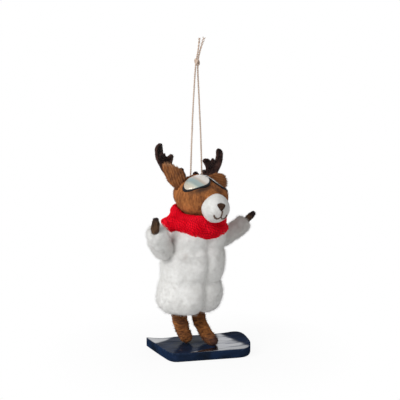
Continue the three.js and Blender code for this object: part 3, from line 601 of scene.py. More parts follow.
for side_name, (leg_radius, top_offset, toe_offset, toe_shade) in leg_sizes.items():
    leg_top = hem_middle + top_offset
    heights = ((-0.06, hem_height + hem_recess + 6), (0, hem_height),
               (0.16, deck + 0.62 * (hem_height - deck)), (0.5, deck + 1.5 * toe_radius),
               (1, deck + 0.62 * toe_radius))
    route = [(*(leg_top + bend * np.array(toe_offset)), height) for bend, height in heights]
    share = 1 - (1 - np.linspace(0, 1, 90)) ** 1.35
    path = smooth_route(route, 0, share)
    path[:, 2] -= toe_sink * share ** 3
    radius = leg_radius * through([0.96, 1, 0.98, 0.92, 0.88, toe_radius / leg_radius], share)
    radius = radius * np.maximum(0.02, rounded(share, 0.16))
    leg_rings = rings_along(path, radius, leg_around)
    outward = leg_rings - path[:, None]
    turn = np.arange(leg_around) * math.tau / leg_around
    winding = 0.16 * np.sin(math.tau * (share[:, None] * length_of(path) / winding_pitch) + turn[None])
    swell = winding + 0.3 * lumps(leg_rings, 4.0, 11)
    leg_rings = path[:, None] + outward * (1 + swell[..., None] / leg_radius)
    leg_rings[..., 2] = np.maximum(leg_rings[..., 2], deck - 0.25)
    leg = new_piece("leg_" + side_name + "_wool", *skin(leg_rings * mm), leg_wool)
    dark_toe = toe_shade * np.clip((share - 0.82) / 0.15, 0, 1)[:, None]
    dark_patches = 0.45 * np.clip(lumps(leg_rings, 7.0, 12), 0, 1)
    give_tint(leg, "shade", np.maximum(dark_toe, dark_patches))
    fibres = loose_fibres("leg_" + side_name + "_fibres", leg, 1500, 2.2 * mm, 0.55 * mm, 21)
    fasten("figure", "brown_wool", leg, fibres)
    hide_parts("leg_" + side_name)


# Body
# The body is a firm cone of brown wool inside the coat; only its underside shows, between the legs.
def body_middle(height):
    """Middle of the leaning body at a height, or at each of several."""
    share = (np.asarray(height, float) - hem_height) / (coat_top - hem_height)
    return np.stack([
        hem_middle[0] + share * (neck_middle[0] - hem_middle[0]),
        hem_middle[1] + share * (neck_middle[1] - hem_middle[1])], -1)


def body_rings(heights, radii, around):
    """Level rings about the leaning body, whose radii may change round the body too."""
    turn = np.arange(around) * math.tau / around
    middle = body_middle(heights)
    radii = np.asarray(radii, float)
    reach = radii[:, None] if radii.ndim == 1 else radii
    x = middle[:, None, 0] + reach * np.cos(turn)
    y = middle[:, None, 1] + 0.93 * reach * np.sin(turn)
    return np.stack([x, y, np.broadcast_to(np.asarray(heights, float)[:, None], x.shape)], -1)


core_heights = [29, 29.4, 32, 45, 55, 63.2, 70, 74, 79, 86]
core_radii = [13.8, 15.2, 15.8, 15.8, 15.2, 14.3, 10.5, 8.7, 7.4, 7.4]
core_rings = body_rings(core_heights, core_radii, 48)
core_rings[..., 2] += 0.3 * lumps(core_rings, 6.0, 13)
body_wool = new_piece("body_wool", *skin(core_rings * mm), leg_wool)
fasten("figure", "brown_wool", body_wool)
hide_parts("body_core")


# Coat
# A coat of white wool, needled into three puffed tiers with a quilt line pressed in between them and one seam
# down the front. It is soft at the surface, with warm grey shade painted in under and beside the right
# sleeve.
def hump(off, width):
    """1 where there is no distance, falling to nothing beyond about two widths."""
    return np.exp(-((off / width) ** 2))


def closeness(points, middle, radius):
    """1 at a place, falling to nothing around it, at each point."""
    return np.exp(-((points - middle) ** 2).sum(-1) / radius ** 2)


seams, seam_drift = (45, 63.2), math.radians(5)
tiers = [
    (hem_height, seams[0], 20.9, 14, 18.3), (seams[0], seams[1], 20.1, 18.3, 18.4),
    (seams[1], coat_top, 18, 18.4, 10.5),
]
coat_around, tier_steps = 220, 30
turn = np.arange(coat_around) * math.tau / coat_around
pinch = 0.62 + 0.48 * np.cos(turn)
softness = 0.78 - 0.26 * np.cos(turn)
from_front = np.arctan2(np.cos(turn), -np.sin(turn))
coat_heights, coat_reaches = [], []
for index, (low, high, puffed, start, end) in enumerate(tiers):
    for step in range(0 if index == 0 else 1, tier_steps + 1):
        share = (1 - math.cos(math.pi * step / tier_steps)) / 2
        height = low + (high - low) * share
        lower = 1 - (height - hem_height) / (coat_top - hem_height)
        edge = start + (end - start) * share
        at_seam = (index > 0 or share > 0.5) and (index < 2 or share < 0.5)
        puff = max(0, math.sin(math.pi * share)) ** (softness if at_seam else 0.5)
        reach = edge + (puffed - edge) * puff
        if at_seam:
            reach = reach - (1 - puff) * 1.5 * (pinch - 0.72)
        from_seam = from_front - seam_drift * lower
        valley = 1.7 * hump(from_seam, math.radians(14))
        valley = valley + (0.8 + 0.9 * lower) * hump(from_seam, math.radians(5))
        far_side = 0.9 * np.clip(np.cos(turn), 0, 1) ** 2 * min(1, max(0, (66 - height) / 4))
        coat_heights.append(height)
        coat_reaches.append(reach - valley * (0.8 + 0.2 * puff) - far_side)
# Inside, the coat goes back down from the collar to the hem
coat_inside = [(coat_top + 0.2, 9.2), (coat_top - 1.5, 9), (70, 11.5), (60, 15.5), (45, 16.4), (32, 16.4),
               (28, 15.6), (26.3, 14.8), (25.7, 14.2)]
coat_heights += [height for height, reach in coat_inside]
coat_reaches += [np.full(coat_around, reach) for height, reach in coat_inside]
coat_rings = body_rings(coat_heights, np.array(coat_reaches), coat_around)
outward = coat_rings - np.column_stack([body_middle(coat_heights), coat_heights])[:, None]
outward[..., 2] = 0
outward /= np.linalg.norm(outward, axis=-1, keepdims=True)
outer = (np.arange(len(coat_heights)) <= 3 * tier_steps)[:, None]
swell = (0.42 * lumps(coat_rings, 9.0, 17) + 0.16 * lumps(coat_rings, 3.2, 18)) * outer
coat_rings += swell[..., None] * outward
cleft = hump(from_front - seam_drift, math.radians(9))[None]
near_hem = np.clip((30 - coat_rings[..., 2]) / 4, 0, 1)
coat_rings[..., 2] += 0.3 * lumps(coat_rings, 12.0, 19) * outer + 1.5 * cleft * near_hem
# A fold runs in from under the right sleeve, and beside the sleeve the coat is fuller, felted up to it
fold_start, fold_end = np.array((-17.5, -4.0, 60.5)), np.array((-6.0, -13.5, 56.0))
fold = fold_end - fold_start
along_fold = np.clip(((coat_rings - fold_start) @ fold) / (fold @ fold), 0, 1)
off_fold = np.linalg.norm(coat_rings - fold_start - along_fold[..., None] * fold, axis=-1)
coat_rings -= (0.75 * hump(off_fold, 1.6) * outer)[..., None] * outward
beside_sleeve = closeness(coat_rings, (-15.8, -5.5, 66.5), 7)
armpit = closeness(coat_rings, (-17, -0.5, 70.5), 4.5)
coat_rings += ((2.7 * beside_sleeve + 2.2 * armpit) * outer)[..., None] * outward
coat_wool = wool("coat wool", (0.885, 0.885, 0.87), (0.71, 0.7, 0.675), grain=(1, 1, 1), strand_scale=420.0,
                 patch_scale=70.0, contrast=0.45, sheen=0.15, depth=0.3, shade=(0.36, 0.26, 0.21))
coat = new_piece("coat_wool", *skin(coat_rings * mm, closed=True), coat_wool)


def darker_places(points, *places):
    """How much darker the white wool is made at points, from places given as a middle, a radius and a
    strength.
    """
    total = np.zeros(points.shape[:-1])
    for middle, radius, strength in places:
        total += strength * closeness(points, middle, radius)
    return total * (0.75 + 0.35 * lumps(points, 3.0, 77))


# Warm grey shade is painted onto the coat under and beside the right sleeve, where the sleeve meets the coat
give_tint(coat, "shade", darker_places(coat_rings, ((-18.2, 0.4, 70.5), 4, 0.17), ((-17.2, -3, 66), 4, 0.1),
                                     ((-13.5, -7.5, 62.5), 2.2, 0.3), ((-19, 0, 59), 4, 0.06)))
coat_fibres = loose_fibres("coat_fibres", coat, 19000, 3.2 * mm, 1.3 * mm, 23, thickness=0.034 * mm)
fasten("figure", "white_felt", coat, coat_fibres)
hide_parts("coat")

# Sleeves
# Each sleeve is the same white wool over a wired arm, felted on at the shoulder, so that its root stays with
# the coat while the rest bends with the arm. The cuff is rolled in about the hand.
arm_sizes = {
    "right": (-1, 1.1, 0.3, (-15.6, -10, 24.7), [
        (0, 0, 0), (0.32, 0.18, 0.03), (0.68, 0.42, 0.182), (0.923, 0.68, 0.466), (0.987, 0.84, 0.684),
        (1, 1, 1)]),
    "left": (1, 2.7, 3.6, (28.4, 3.2, 13.8), [
        (0, 0, 0), (0.197, 0.125, 0.072), (0.408, 0.312, 0.232), (0.613, 0.5, 0.464),
        (0.761, 0.688, 0.667), (1, 1, 1)]),
}
# Fullness from shoulder to cuff, shift and widening toward the coat, slope of the cuff's rim, and places of
# painted shade
sleeve_forms = {
    "right": ([0.8, 1.0, 1.06, 1.06, 1.03, 0.98], 1.3, 2.0, 0.58,
              [((-19, -1, 66), 5, 0.14), ((-22, -4, 71), 3.5, 0.1)]),
    "left": ([0.7, 0.95, 0.98, 0.98, 0.98, 0.9], 0, 0, 0,
             [((37, 5, 78), 6, 0.38), ((28, 4, 71), 7, 0.2), ((42, 6, 74), 5, 0.2)]),
}
sleeve_radius, shoulder_out = 5.3, 0.88 * 18
view_toward = np.array(view_back)
view_across = np.array((math.cos(view_azimuth), math.sin(view_azimuth), 0))
arm_routes = {}
for side_name, (side, pivot_back, pivot_rise, reach, shares) in arm_sizes.items():
    pivot_height = seams[1] + pivot_rise
    pivot_x, pivot_y = body_middle(pivot_height) + (side * shoulder_out, pivot_back)
    arm_routes[side_name] = np.array([pivot_x, pivot_y, pivot_height]) + np.array(shares) * reach
for side_name, route in arm_routes.items():
    fullness, shift, widening, cuff_slope, painted_shade = sleeve_forms[side_name]
    root = route[0] - 0.35 * (route[1] - route[0])
    share = np.linspace(0, 1, 70)
    share = share + 0.06 * np.sin(math.pi * share) * share
    share = np.clip(share / share[-1], 0, 1)
    path = smooth_route([root, *route[:-1]], 0, share)
    path = path + shift * np.clip((share[:, None] - 0.1) / 0.4, 0, 1) * view_across
    radius = sleeve_radius * through(fullness, share)
    radius = radius * np.maximum(0.3, rounded(share, 0.09)) * np.maximum(0.05, rounded(1 - share, 0.1))
    sleeve_rings = rings_along(path, radius, 56)
    toward_view = (sleeve_rings - path[:, None]) @ view_toward
    near_cuff = np.clip((share - 0.55) / 0.37, 0, 1)[:, None, None] ** 1.5
    sleeve_rings -= cuff_slope * toward_view[..., None] * near_cuff * directions(path)[:, None]
    against_coat = np.clip((sleeve_rings - path[:, None]) @ view_across / sleeve_radius, 0, 1)
    against_coat *= np.clip(share / 0.2, 0, 1)[:, None] * np.clip((1.02 - share) / 0.15, 0, 1)[:, None]
    sleeve_rings += widening * against_coat[..., None] * view_across
    outward = sleeve_rings - path[:, None]
    swell = 0.3 * lumps(sleeve_rings, 6.0, 29) + 0.12 * lumps(sleeve_rings, 2.6, 30)
    sleeve_rings = path[:, None] + outward * (1 + swell[..., None] / sleeve_radius)
    sleeve = new_piece("sleeve_" + side_name + "_wool", *skin(sleeve_rings * mm), coat_wool)
    # Warm grey shade is painted onto the sleeve's shaded places
    give_tint(sleeve, "shade", darker_places(sleeve_rings, *painted_shade))
    fibres = loose_fibres("sleeve_" + side_name + "_fibres", sleeve, 4200, 3 * mm, 1.0 * mm, 31,
                          thickness=0.034 * mm)
    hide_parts("sleeve_" + side_name)
    bend_end = route[0] + 0.9 * (route[1] - route[0])
    for piece in (sleeve, fibres):
        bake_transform(piece, "figure", "arm_" + side_name, start=tuple(root * mm), end=tuple(bend_end * mm))

# Hands
# A short roll of dark grey-brown wool that comes out of the cuff and is felted to a blunt hoof.
hand_radius, hand_flatness, hand_around = 1.85, 0.72, 32
# Width, where the darker tip starts, and a shift toward the photograph's view, across it and up
hand_forms = {"right": (1.12, 0.72, (1.6, 0.8, -1.4)), "left": (0.92, 0.45, (0, 0, 0))}
hand_wool = wool("hoof wool", (0.165, 0.09, 0.048), (0.02, 0.014, 0.012), grain=(1, 1, 0.3),
                 strand_scale=1100.0, patch_scale=220.0, contrast=0.7, depth=0.35,
                 shade=(0.02, 0.015, 0.018))
for side_name, route in arm_routes.items():
    wide, dark_from, (shift_toward, shift_across, shift_up) = hand_forms[side_name]
    lengths = distances(route)
    cuff_share = lengths[-2] / lengths[-1]
    start_share = cuff_share - 5 / lengths[-1]
    share = np.linspace(0, 1, 44)
    path = smooth_route(route, 0, start_share + (1 - start_share) * (1 - (1 - share) ** 1.3))
    radius = hand_radius * through([0.7, 1, 1.12, 1.16, 1.08, 0.9, 0.7], share)
    radius = radius * np.maximum(0.05, rounded(share, 0.1))
    hand_rings = rings_along(path, radius, hand_around)
    outward = hand_rings - path[:, None]
    facing = outward @ view_toward
    outward = outward * wide - (wide - hand_flatness) * facing[..., None] * view_toward
    path = path + shift_toward * view_toward + shift_across * view_across + (0, 0, shift_up)
    hand_rings = path[:, None] + outward * (1 + 0.07 * lumps(hand_rings, 3.0, 37)[..., None])
    hand = new_piece("hoof_" + side_name, *skin(hand_rings * mm), hand_wool)
    give_tint(hand, "shade", np.repeat(np.clip((share - dark_from) / 0.25, 0, 0.85), hand_around))
    fibres = loose_fibres("hoof_" + side_name + "_fibres", hand, 500, 1.6 * mm, 0.4 * mm, 41)
    fasten("arm_" + side_name, "hoof_wool", hand, fibres)
    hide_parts("hand_" + side_name)

# Head
# A firm egg of brown wool, needled so that its fibres run down from the crown, narrower toward the face and
# rolled a little to the deer's left.
head_size = np.array([31.5, 36, 25.5]) / 2
head_middle = np.array([3, 3.5, 95.4])
head_roll = math.radians(8)
face_taper = 0.12


def in_head(points):
    """Moves points made about the head's middle to its place on the body."""
    points = np.asarray(points, float)
    x = points[..., 0] * math.cos(head_roll) + points[..., 2] * math.sin(head_roll)
    z = -points[..., 0] * math.sin(head_roll) + points[..., 2] * math.cos(head_roll)
    return np.stack([x, points[..., 1], z], -1) + head_middle


def ball_rings(count, around):
    """Rings of a ball of radius 1 from its front pole to its back one."""
    tilt = np.linspace(0.03, math.pi - 0.03, count)[:, None]
    turn = (np.arange(around) * math.tau / around)[None]
    return np.stack([
        np.sin(tilt) * np.cos(turn), -np.cos(tilt) * np.ones_like(turn), np.sin(tilt) * np.sin(turn)], -1)


def head_points(unit):
    """Unit directions set on the head's egg, about the head's middle."""
    points = unit * head_size
    narrow = 1 - face_taper * np.clip(-points[..., 1] / head_size[1], 0, None) ** 2
    points[..., 0] *= narrow
    points[..., 2] *= narrow
    return points


# Where the goggles sit, the head is pressed in
goggle_half, goggle_tall, goggle_back = 14.7, 6.2, -0.9
goggle_pitch, goggle_roll, bridge_notch = math.radians(61.6), math.radians(-6.5), 7.4


def foam_below(across, up):
    """How far the foam stands out below the outline, in shares: all along the deer's left lobe."""
    return np.clip((across + 11) / 8, 0, 1) * np.clip((2.5 - up) / 2.5, 0, 1)


def goggle_line(inset, foam=0.0):
    """Outline of the goggles, two round lobes about the bridge's notch, drawn in by an inset."""
    half, tall = goggle_half - inset, goggle_tall - inset
    bends = [
        [(0.1 * half, -0.95 * tall), (0.42 * half, -tall)],
        [(0.72 * half, -tall), (half, -0.7 * tall), (half, -0.1 * tall)],
        [(half, 0.62 * tall), (0.76 * half, tall), (0.4 * half, tall)],
        [(0.2 * half, tall), (0, 0.94 * tall)],
        [(-0.2 * half, tall), (-0.4 * half, tall)],
        [(-0.76 * half, tall), (-half, 0.62 * tall), (-half, -0.1 * tall)],
        [(-half, -0.7 * tall), (-0.72 * half, -tall), (-0.42 * half, -tall)],
        [(-0.1 * half, -0.95 * tall), (0, -tall + bridge_notch)],
    ]
    line = [np.array((0, -tall + bridge_notch))]
    for bend in bends:
        a, b, last = line[-1], np.array(bend[0]), np.array(bend[-1])
        for t in np.linspace(0, 1, 19)[1:]:
            if len(bend) == 2:
                line.append((1 - t) ** 2 * a + 2 * t * (1 - t) * b + t * t * last)
            else:
                c = np.array(bend[1])
                rest = 1 - t
                line.append(rest ** 3 * a + 3 * t * rest ** 2 * b + 3 * t * t * rest * c + t ** 3 * last)
    line = np.array(line[:-1])
    line[:, 1] -= foam * foam_below(line[:, 0], line[:, 1])
    return line


def pressed_in(across):
    """How far the goggles press into the wool, most at the deer's left."""
    return 1.9 * hump(across - 8.5, 6)


def on_forehead(flat, out):
    """Points of the goggles' flat outline pushed back onto the head."""
    flat, out = np.asarray(flat, float), np.asarray(out, float)
    out = out - pressed_in(flat[..., 0])

    def facing(x, y, z):
        points = np.stack(np.broadcast_arrays(x, y, z), -1).astype(float)
        return turned_about(turned_about(points, 1, goggle_roll), 0, -goggle_pitch)

    near, far = np.zeros(flat.shape[:-1]), np.full(flat.shape[:-1], 36.0)
    for _ in range(40):
        half_way = (near + far) / 2
        points = facing(flat[..., 0], -half_way, flat[..., 1])
        narrow = 1 - face_taper * np.clip(-points[..., 1] / head_size[1], 0, 1.05) ** 2
        scaled = points / (head_size + out[..., None])
        scaled[..., 0] /= narrow
        scaled[..., 2] /= narrow
        inside = (scaled ** 2).sum(-1) < 1
        near, far = np.where(inside, half_way, near), np.where(inside, far, half_way)
    return facing(flat[..., 0], -near, flat[..., 1])


def turned_about(points, axis, angle):
    """Points turned about one of the axes, 0 for x, 1 for y and 2 for z."""
    first, second = [(1, 2), (2, 0), (0, 1)][axis]
    points = points.copy()
    a, b = points[..., first].copy(), points[..., second].copy()
    points[..., first] = a * math.cos(angle) - b * math.sin(angle)
    points[..., second] = a * math.sin(angle) + b * math.cos(angle)
    return points


unit = ball_rings(140, 140)
head_rings = head_points(unit)
swell = 0.25 * lumps(head_rings, 8.0, 43) + 0.1 * lumps(head_rings, 3.0, 44)
head_rings = head_rings + unit * swell[..., None]
faced = turned_about(turned_about(head_rings, 0, goggle_pitch), 1, -goggle_roll)
across_goggles, up_goggles = faced[..., 0], faced[..., 2]
within = 1.03 - (np.abs(across_goggles) / goggle_half) ** 2.6 - (np.abs(up_goggles) / goggle_tall) ** 2.6
within -= 2 * hump(across_goggles, 3.0) * np.clip((1.0 - up_goggles) / 2, 0, 1)
within = np.clip(within / 0.1, 0, 1) * (faced[..., 1] < 0)
sunk_out = np.full(across_goggles.shape, -0.5)
sunk = on_forehead(np.stack([across_goggles, up_goggles], -1), sunk_out)
head_rings += within[..., None] * (sunk - head_rings)
head_wool = wool("head wool", (0.57, 0.215, 0.065), (0.18, 0.064, 0.024), grain=(1, 1, 0.14),
                 strand_scale=1000.0, patch_scale=130.0, contrast=0.7, depth=0.35,
                 shade=(0.075, 0.04, 0.026))
head = new_piece("head_wool", *skin(in_head(head_rings) * mm), head_wool)
# Shade is painted into the wool just under the goggles' lower edge
brow = [(-12.4, -9.2, 3.4), (-9.7, -11.6, 5), (-7.8, -12.5, 5.8), (-5.6, -13.4, 6.4), (-3.2, -13.4, 7.6),
        (1.5, -14.2, 7)]
give_tint(head, "shade", 0.62 * sum(closeness(head_rings, middle, 2.2) for middle in brow))
head_fibres = loose_fibres("head_fibres", head, 9000, 2.4 * mm, 0.5 * mm, 47, (0, 0, -1), 0.036 * mm)
fasten("figure", "head_wool", head, head_fibres)
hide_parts("head")

# Muzzle
# A smaller ball of white wool, needled onto the front of the head.
muzzle_radius, muzzle_length, muzzle_forward, muzzle_drop, muzzle_aside = 8.4, 16, 17.6, 3.9, 0.9
muzzle_size = np.array([muzzle_radius, muzzle_length / 2, muzzle_radius])
unit = ball_rings(64, 72)
muzzle_rings = unit * muzzle_size + (muzzle_aside, -muzzle_forward, -muzzle_drop)
muzzle_rings = muzzle_rings + unit * (0.16 * lumps(muzzle_rings, 5.0, 53))[..., None]
muzzle_wool = wool("muzzle wool", (0.84, 0.84, 0.82), (0.64, 0.63, 0.6), grain=(1, 1, 1),
                   strand_scale=500.0, patch_scale=120.0, contrast=0.45, sheen=0.15, depth=0.2,
                   shade=(0.36, 0.24, 0.2))
muzzle = new_piece("muzzle_wool", *skin(in_head(muzzle_rings) * mm), muzzle_wool)
# The wool is made darker and warmer below the mouth
below_mouth = darker_places(muzzle_rings, ((0.9, -24.7, -7.8), 3.2, 0.22), ((3.5, -22, -10), 4, 0.16))
give_tint(muzzle, "shade", below_mouth)
muzzle_fibres = loose_fibres("muzzle_fibres", muzzle, 1500, 1.5 * mm, 0.3 * mm, 57, thickness=0.04 * mm)
fasten("figure", "muzzle_wool", muzzle, muzzle_fibres)
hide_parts("muzzle")


def on_muzzle(across, up, out):
    """A point on the muzzle's front at shares of its radius, out from its surface."""
    across, up = np.asarray(across, float), np.asarray(up, float)
    front = np.sqrt(np.maximum(0, 1 - across ** 2 - up ** 2))
    return np.stack([
        muzzle_aside + across * (muzzle_radius + out), -muzzle_forward - front * (muzzle_length / 2 + out),
        -muzzle_drop + up * (muzzle_radius + out)], -1)


# Nose
# A rounded triangle of dark brown wool, point down, needled flat onto the upper front of the muzzle.
nose_turn = np.arange(72) * math.tau / 72
nose_across = 2.95 * np.sign(np.cos(nose_turn)) * np.abs(np.cos(nose_turn)) ** 0.8
nose_up = 2.2 * np.sin(nose_turn)
nose_taper = 0.16 + 0.84 * np.clip((nose_up + 2.3) / 3.9, 0, 1)
nose_rings = []
nose_steps = ((1, -0.6), (1, 0.3), (0.97, 0.65), (0.88, 0.95), (0.7, 1.15), (0.4, 1.25), (0.1, 1.28))
for inset, out in nose_steps:
    x = -0.1 + nose_across * nose_taper * inset / muzzle_radius
    z = 0.22 + nose_up * inset / muzzle_radius
    nose_rings.append(on_muzzle(x, z, out))
nose_wool = wool("nose wool", (0.085, 0.045, 0.028), (0.03, 0.015, 0.01), grain=(1, 1, 1),
                 strand_scale=900.0, patch_scale=300.0, contrast=0.6, depth=0.3)
nose = new_piece("nose_wool", *skin(in_head(nose_rings) * mm), nose_wool)
nose_fibres = loose_fibres("nose_fibres", nose, 160, 1.0 * mm, 0.2 * mm, 59, thickness=0.04 * mm)
fasten("figure", "nose_felt", nose, nose_fibres)
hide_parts("nose")

# Mouth
# An anchor of brown thread laid into the wool: a line down from the nose, and two curves out from its foot.
mouth_routes = [
    [(0, -0.02), (0, -0.24), (0, -0.46)],
    [(0, -0.46), (-0.2, -0.62), (-0.4, -0.54), (-0.5, -0.36)],
    [(0, -0.46), (0.2, -0.6), (0.4, -0.5), (0.48, -0.3)],
]
mouth_thread = wool("mouth thread", (0.2, 0.13, 0.095), (0.07, 0.042, 0.03), grain=(1, 1, 1),
                    strand_scale=1500.0, patch_scale=300.0, contrast=0.6, depth=0.3)
threads = []
for route in mouth_routes:
    route = np.array(route)
    path = smooth_route(in_head(on_muzzle(route[:, 0], route[:, 1], 0.2)), 26)
    share = np.linspace(0, 1, len(path))
    heavy = 0.36 + 0.14 * share if threads else 0.52 - 0.16 * share
    threads.append(skin(rings_along(path, heavy * (1 + 0.18 * np.sin(share * 30)), 9)))
points, faces = joined(*threads)
mouth = new_piece("mouth_thread", points * mm, faces, mouth_thread)
fasten("figure", "mouth_thread", mouth)
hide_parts("mouth_stitch")


def head_top(out_share, back_share):
    """Height of the head's top over its middle at shares of its half width and half length."""
    return head_size[2] * math.sqrt(max(0, 1 - out_share ** 2 - back_share ** 2))


# Ears
# A leaf of brown plush, cupped a little to the front, with a scalloped blunt tip that slants to one side. Its
# pile runs from root to tip in light and dark rows.
# Side, sweep and lift in degrees, the tip's slant, where the root sits on the head, and a shift
ear_places = {
    "right": (-1, 15, 59, 0.9, 0.93, 0.235, (-0.9, -1.7, 0.2)),
    "left": (1, 8, -3, 0.2, 0.32, 0.31, (0, 0, 0)),
}
ear_length, ear_width, ear_thickness = 17.2, 11.6, 3.8
ear_plush = wool("ear plush", (0.52, 0.19, 0.052), (0.14, 0.043, 0.015), grain=(1, 1, 0.22),
                 strand_scale=1000.0, patch_scale=150.0, contrast=0.85, depth=0.35,
                 shade=(0.1, 0.034, 0.012), pale=(0.56, 0.32, 0.18))
for side_name, (side, sweep, lift, ear_slant, out_share, back_share, shift) in ear_places.items():
    ear_up = -np.cos(np.linspace(0.04, math.pi - 0.04, 70))
    turn = np.arange(72) * math.tau / 72
    round_ends = np.sqrt(1 - ear_up ** 2)
    broad = round_ends * np.where(ear_up > 0, np.sqrt(1 + ear_up ** 2), 1 + 0.5 * ear_up)
    x = 0.94 * ear_width / 2 * broad[:, None] * np.cos(turn)
    y = ear_thickness / 2 * (round_ends * 0.9)[:, None] * np.sin(turn)
    share = ((ear_up + 1) / 2)[:, None]
    z = ear_length * share + side * ear_slant * x * share ** 2
    z -= (1 - share) * 1.5
    cup = 0.8 * (x / (ear_width / 2)) ** 2 * np.sin(math.pi * share)
    uneven = 0.6 * lumps(np.stack([x, y, z * 0.3], -1), 3.0, 62)
    row = np.cos(math.tau * x / 1.45 + 1.6 * np.sin(5 * share) + uneven)
    scallop = 0.34 * row * np.clip((share - 0.7) / 0.3, 0, 1)
    ear_rings = np.stack([x, y * (1 + 0.06 * row) - cup, z + scallop], -1)
    ear_rings = turned_about(ear_rings, 1, side * (math.pi / 2 - math.radians(lift)))
    ear_rings = turned_about(ear_rings, 2, side * math.radians(sweep))
    ear_rings += (side * out_share * 0.8 * head_size[0], back_share * head_size[1],
                  0.8 * head_top(out_share, back_share))
    ear_rings += shift
    ear = new_piece("ear_" + side_name + "_plush", *skin(in_head(ear_rings) * mm), ear_plush)
    give_tint(ear, "shade", 0.16 - 0.16 * row + 0.5 * np.clip(0.35 - share, 0, 0.3) / 0.3)
    give_tint(ear, "pale", (0.12 + 0.12 * row) * (share > 0.2) + 0.6 * np.clip((share - 0.86) / 0.14, 0, 1))
    tip = in_head(ear_rings[-1].mean(0)) - in_head(ear_rings[0].mean(0))
    fibres = loose_fibres("ear_" + side_name + "_fibres", ear, 3200, 1.9 * mm, 0.5 * mm, 61,
                          tip / np.linalg.norm(tip), 0.036 * mm)
    fasten("figure", "ear_plush", ear, fibres)
    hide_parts("ear_" + side_name)

# Antlers
# A flat palm of stiff dark brown felt, cut out with a blunt upright tine, a notched inner one and a short
# brow tine at the root. Pale specks of fibre cling to it.
antler_places = {"right": (-1, 1.05, 8, 0.125, 0.49, 0.57), "left": (1, 1.05, -8, -0.3, 0.1, 0.57)}
antler_width, antler_height, antler_thickness = 17, 19.5, 2.2
antler_outlines = {
    "right": [
        (-0.02, -0.12), (0.3, -0.02), (0.5, 0.05), (0.79, 0.24), (0.87, 0.38), (0.95, 0.52), (1, 0.62),
        (1.02, 0.81), (1.01, 0.93), (0.92, 1.03), (0.82, 1.06), (0.77, 1.03), (0.75, 0.85), (0.73, 0.75),
        (0.68, 0.76), (0.64, 0.65), (0.55, 0.67), (0.43, 0.72), (0.37, 0.66), (0.39, 0.56), (0.43, 0.43),
        (0.36, 0.26), (0.24, 0.18), (0.16, 0.2), (0.13, 0.28), (0.07, 0.29), (0.01, 0.26), (0, 0.2),
        (-0.06, 0.08), (-0.06, -0.04)],
    "left": [
        (-0.02, -0.12), (0.3, -0.02), (0.58, 0.06), (0.74, 0.2), (0.86, 0.34), (0.96, 0.48), (1.03, 0.64),
        (1.06, 0.8), (1.04, 0.92), (0.99, 0.98), (0.93, 1), (0.87, 0.99), (0.83, 0.92), (0.82, 0.79),
        (0.76, 0.66), (0.71, 0.7), (0.67, 0.73), (0.63, 0.7), (0.59, 0.63), (0.53, 0.7), (0.46, 0.73),
        (0.38, 0.74), (0.32, 0.72), (0.29, 0.67), (0.32, 0.61), (0.36, 0.55), (0.4, 0.44), (0.38, 0.4),
        (0.28, 0.41), (0.26, 0.37), (0.27, 0.31), (0.2, 0.3), (0.12, 0.27), (0.06, 0.34), (-0.02, 0.38),
        (-0.09, 0.35), (-0.12, 0.28), (-0.1, 0.1), (-0.06, -0.04)],
}
antler_fibre_count = 1500
antler_felt = wool("antler felt", (0.085, 0.042, 0.034), (0.014, 0.007, 0.007), grain=(1, 1, 0.6),
                   strand_scale=1200.0, patch_scale=260.0, contrast=0.8, depth=0.4, pale=(0.34, 0.27, 0.24))
# Inset and share of the half thickness of the lines round the cut edge
cut_edge = ((0.7, -1), (0.35, -0.93), (0.1, -0.75), (0, -0.5), (0, 0.5), (0.1, 0.75), (0.35, 0.93), (0.7, 1))
for side_name, (side, size_share, tilt, lift_share, out_share, back_share) in antler_places.items():
    flat = np.array(antler_outlines[side_name]) * (antler_width, antler_height) * size_share
    closed_flat = np.column_stack([np.vstack([flat, flat[:1]]), np.zeros(len(flat) + 1)])
    flat = smooth_route(closed_flat, 260)[:-1, :2]
    antler_inward = inward_of(flat, 2)
    rings = []
    for inset, thick_share in cut_edge:
        ring = (flat + inset * antler_inward) * (side, 1)
        thick = np.full(len(ring), thick_share * antler_thickness / 2)
        rings.append(np.stack([ring[:, 0], thick, ring[:, 1]], -1))
    rings = turned_about(np.array(rings), 1, side * math.radians(tilt))
    rings = turned_about(rings, 0, math.radians(-6))
    rings += (side * out_share * head_size[0], back_share * head_size[1],
              lift_share * head_size[2] + 0.94 * head_top(out_share, back_share))
    points, faces = skin(in_head(rings) * mm)
    count = len(flat)
    front, back = list(range(count)), list(range(len(points) - 3, len(points) - 3 - count, -1))
    faces = [face for face in faces if len(face) == 4] + [front, back]
    antler = new_piece("antler_" + side_name + "_felt", points[:-2], faces, antler_felt)
    fibres = loose_fibres("antler_" + side_name + "_fibres", antler, antler_fibre_count, 1.3 * mm, 0.32 * mm,
                          67, thickness=0.045 * mm)
    fleck = np.random.default_rng(68).random(antler_fibre_count) < 0.07
    give_tint(fibres, "pale", np.repeat(fleck, 7) * 0.8)
    fasten("figure", "antler_felt", antler, fibres)
    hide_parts("antler_" + side_name)

# Goggles
# Ski goggles pushed up on the forehead: a thin black rubber frame curved to the head, and two lenses of
# pearly mirror film that cover nearly all of its face. There is no strap.
rubber, tree, shader = new_material("goggle rubber", {"Roughness": 0.5, "Specular IOR Level": 0.12})
grain = noise(tree, node(tree, "TexCoord").outputs["Object"], 1600.0, 2.0)
black = mixed(tree, grain, (0.006, 0.006, 0.008, 1), (0.02, 0.02, 0.024, 1))
tree.links.new(black, shader.inputs["Base Color"])
raise_grain(tree, shader, grain, 0.1, 0.0002)


def below_rim(line):
    """Keeps a line under the broad upper rim of the deer's left lobe."""
    rim = 3.7 - 0.12 * line[:, 0] + 3 * np.clip(1 - line[:, 0] / 2, 0, 1)
    return np.column_stack([line[:, 0], np.where(line[:, 0] > 0, np.minimum(line[:, 1], rim), line[:, 1])])


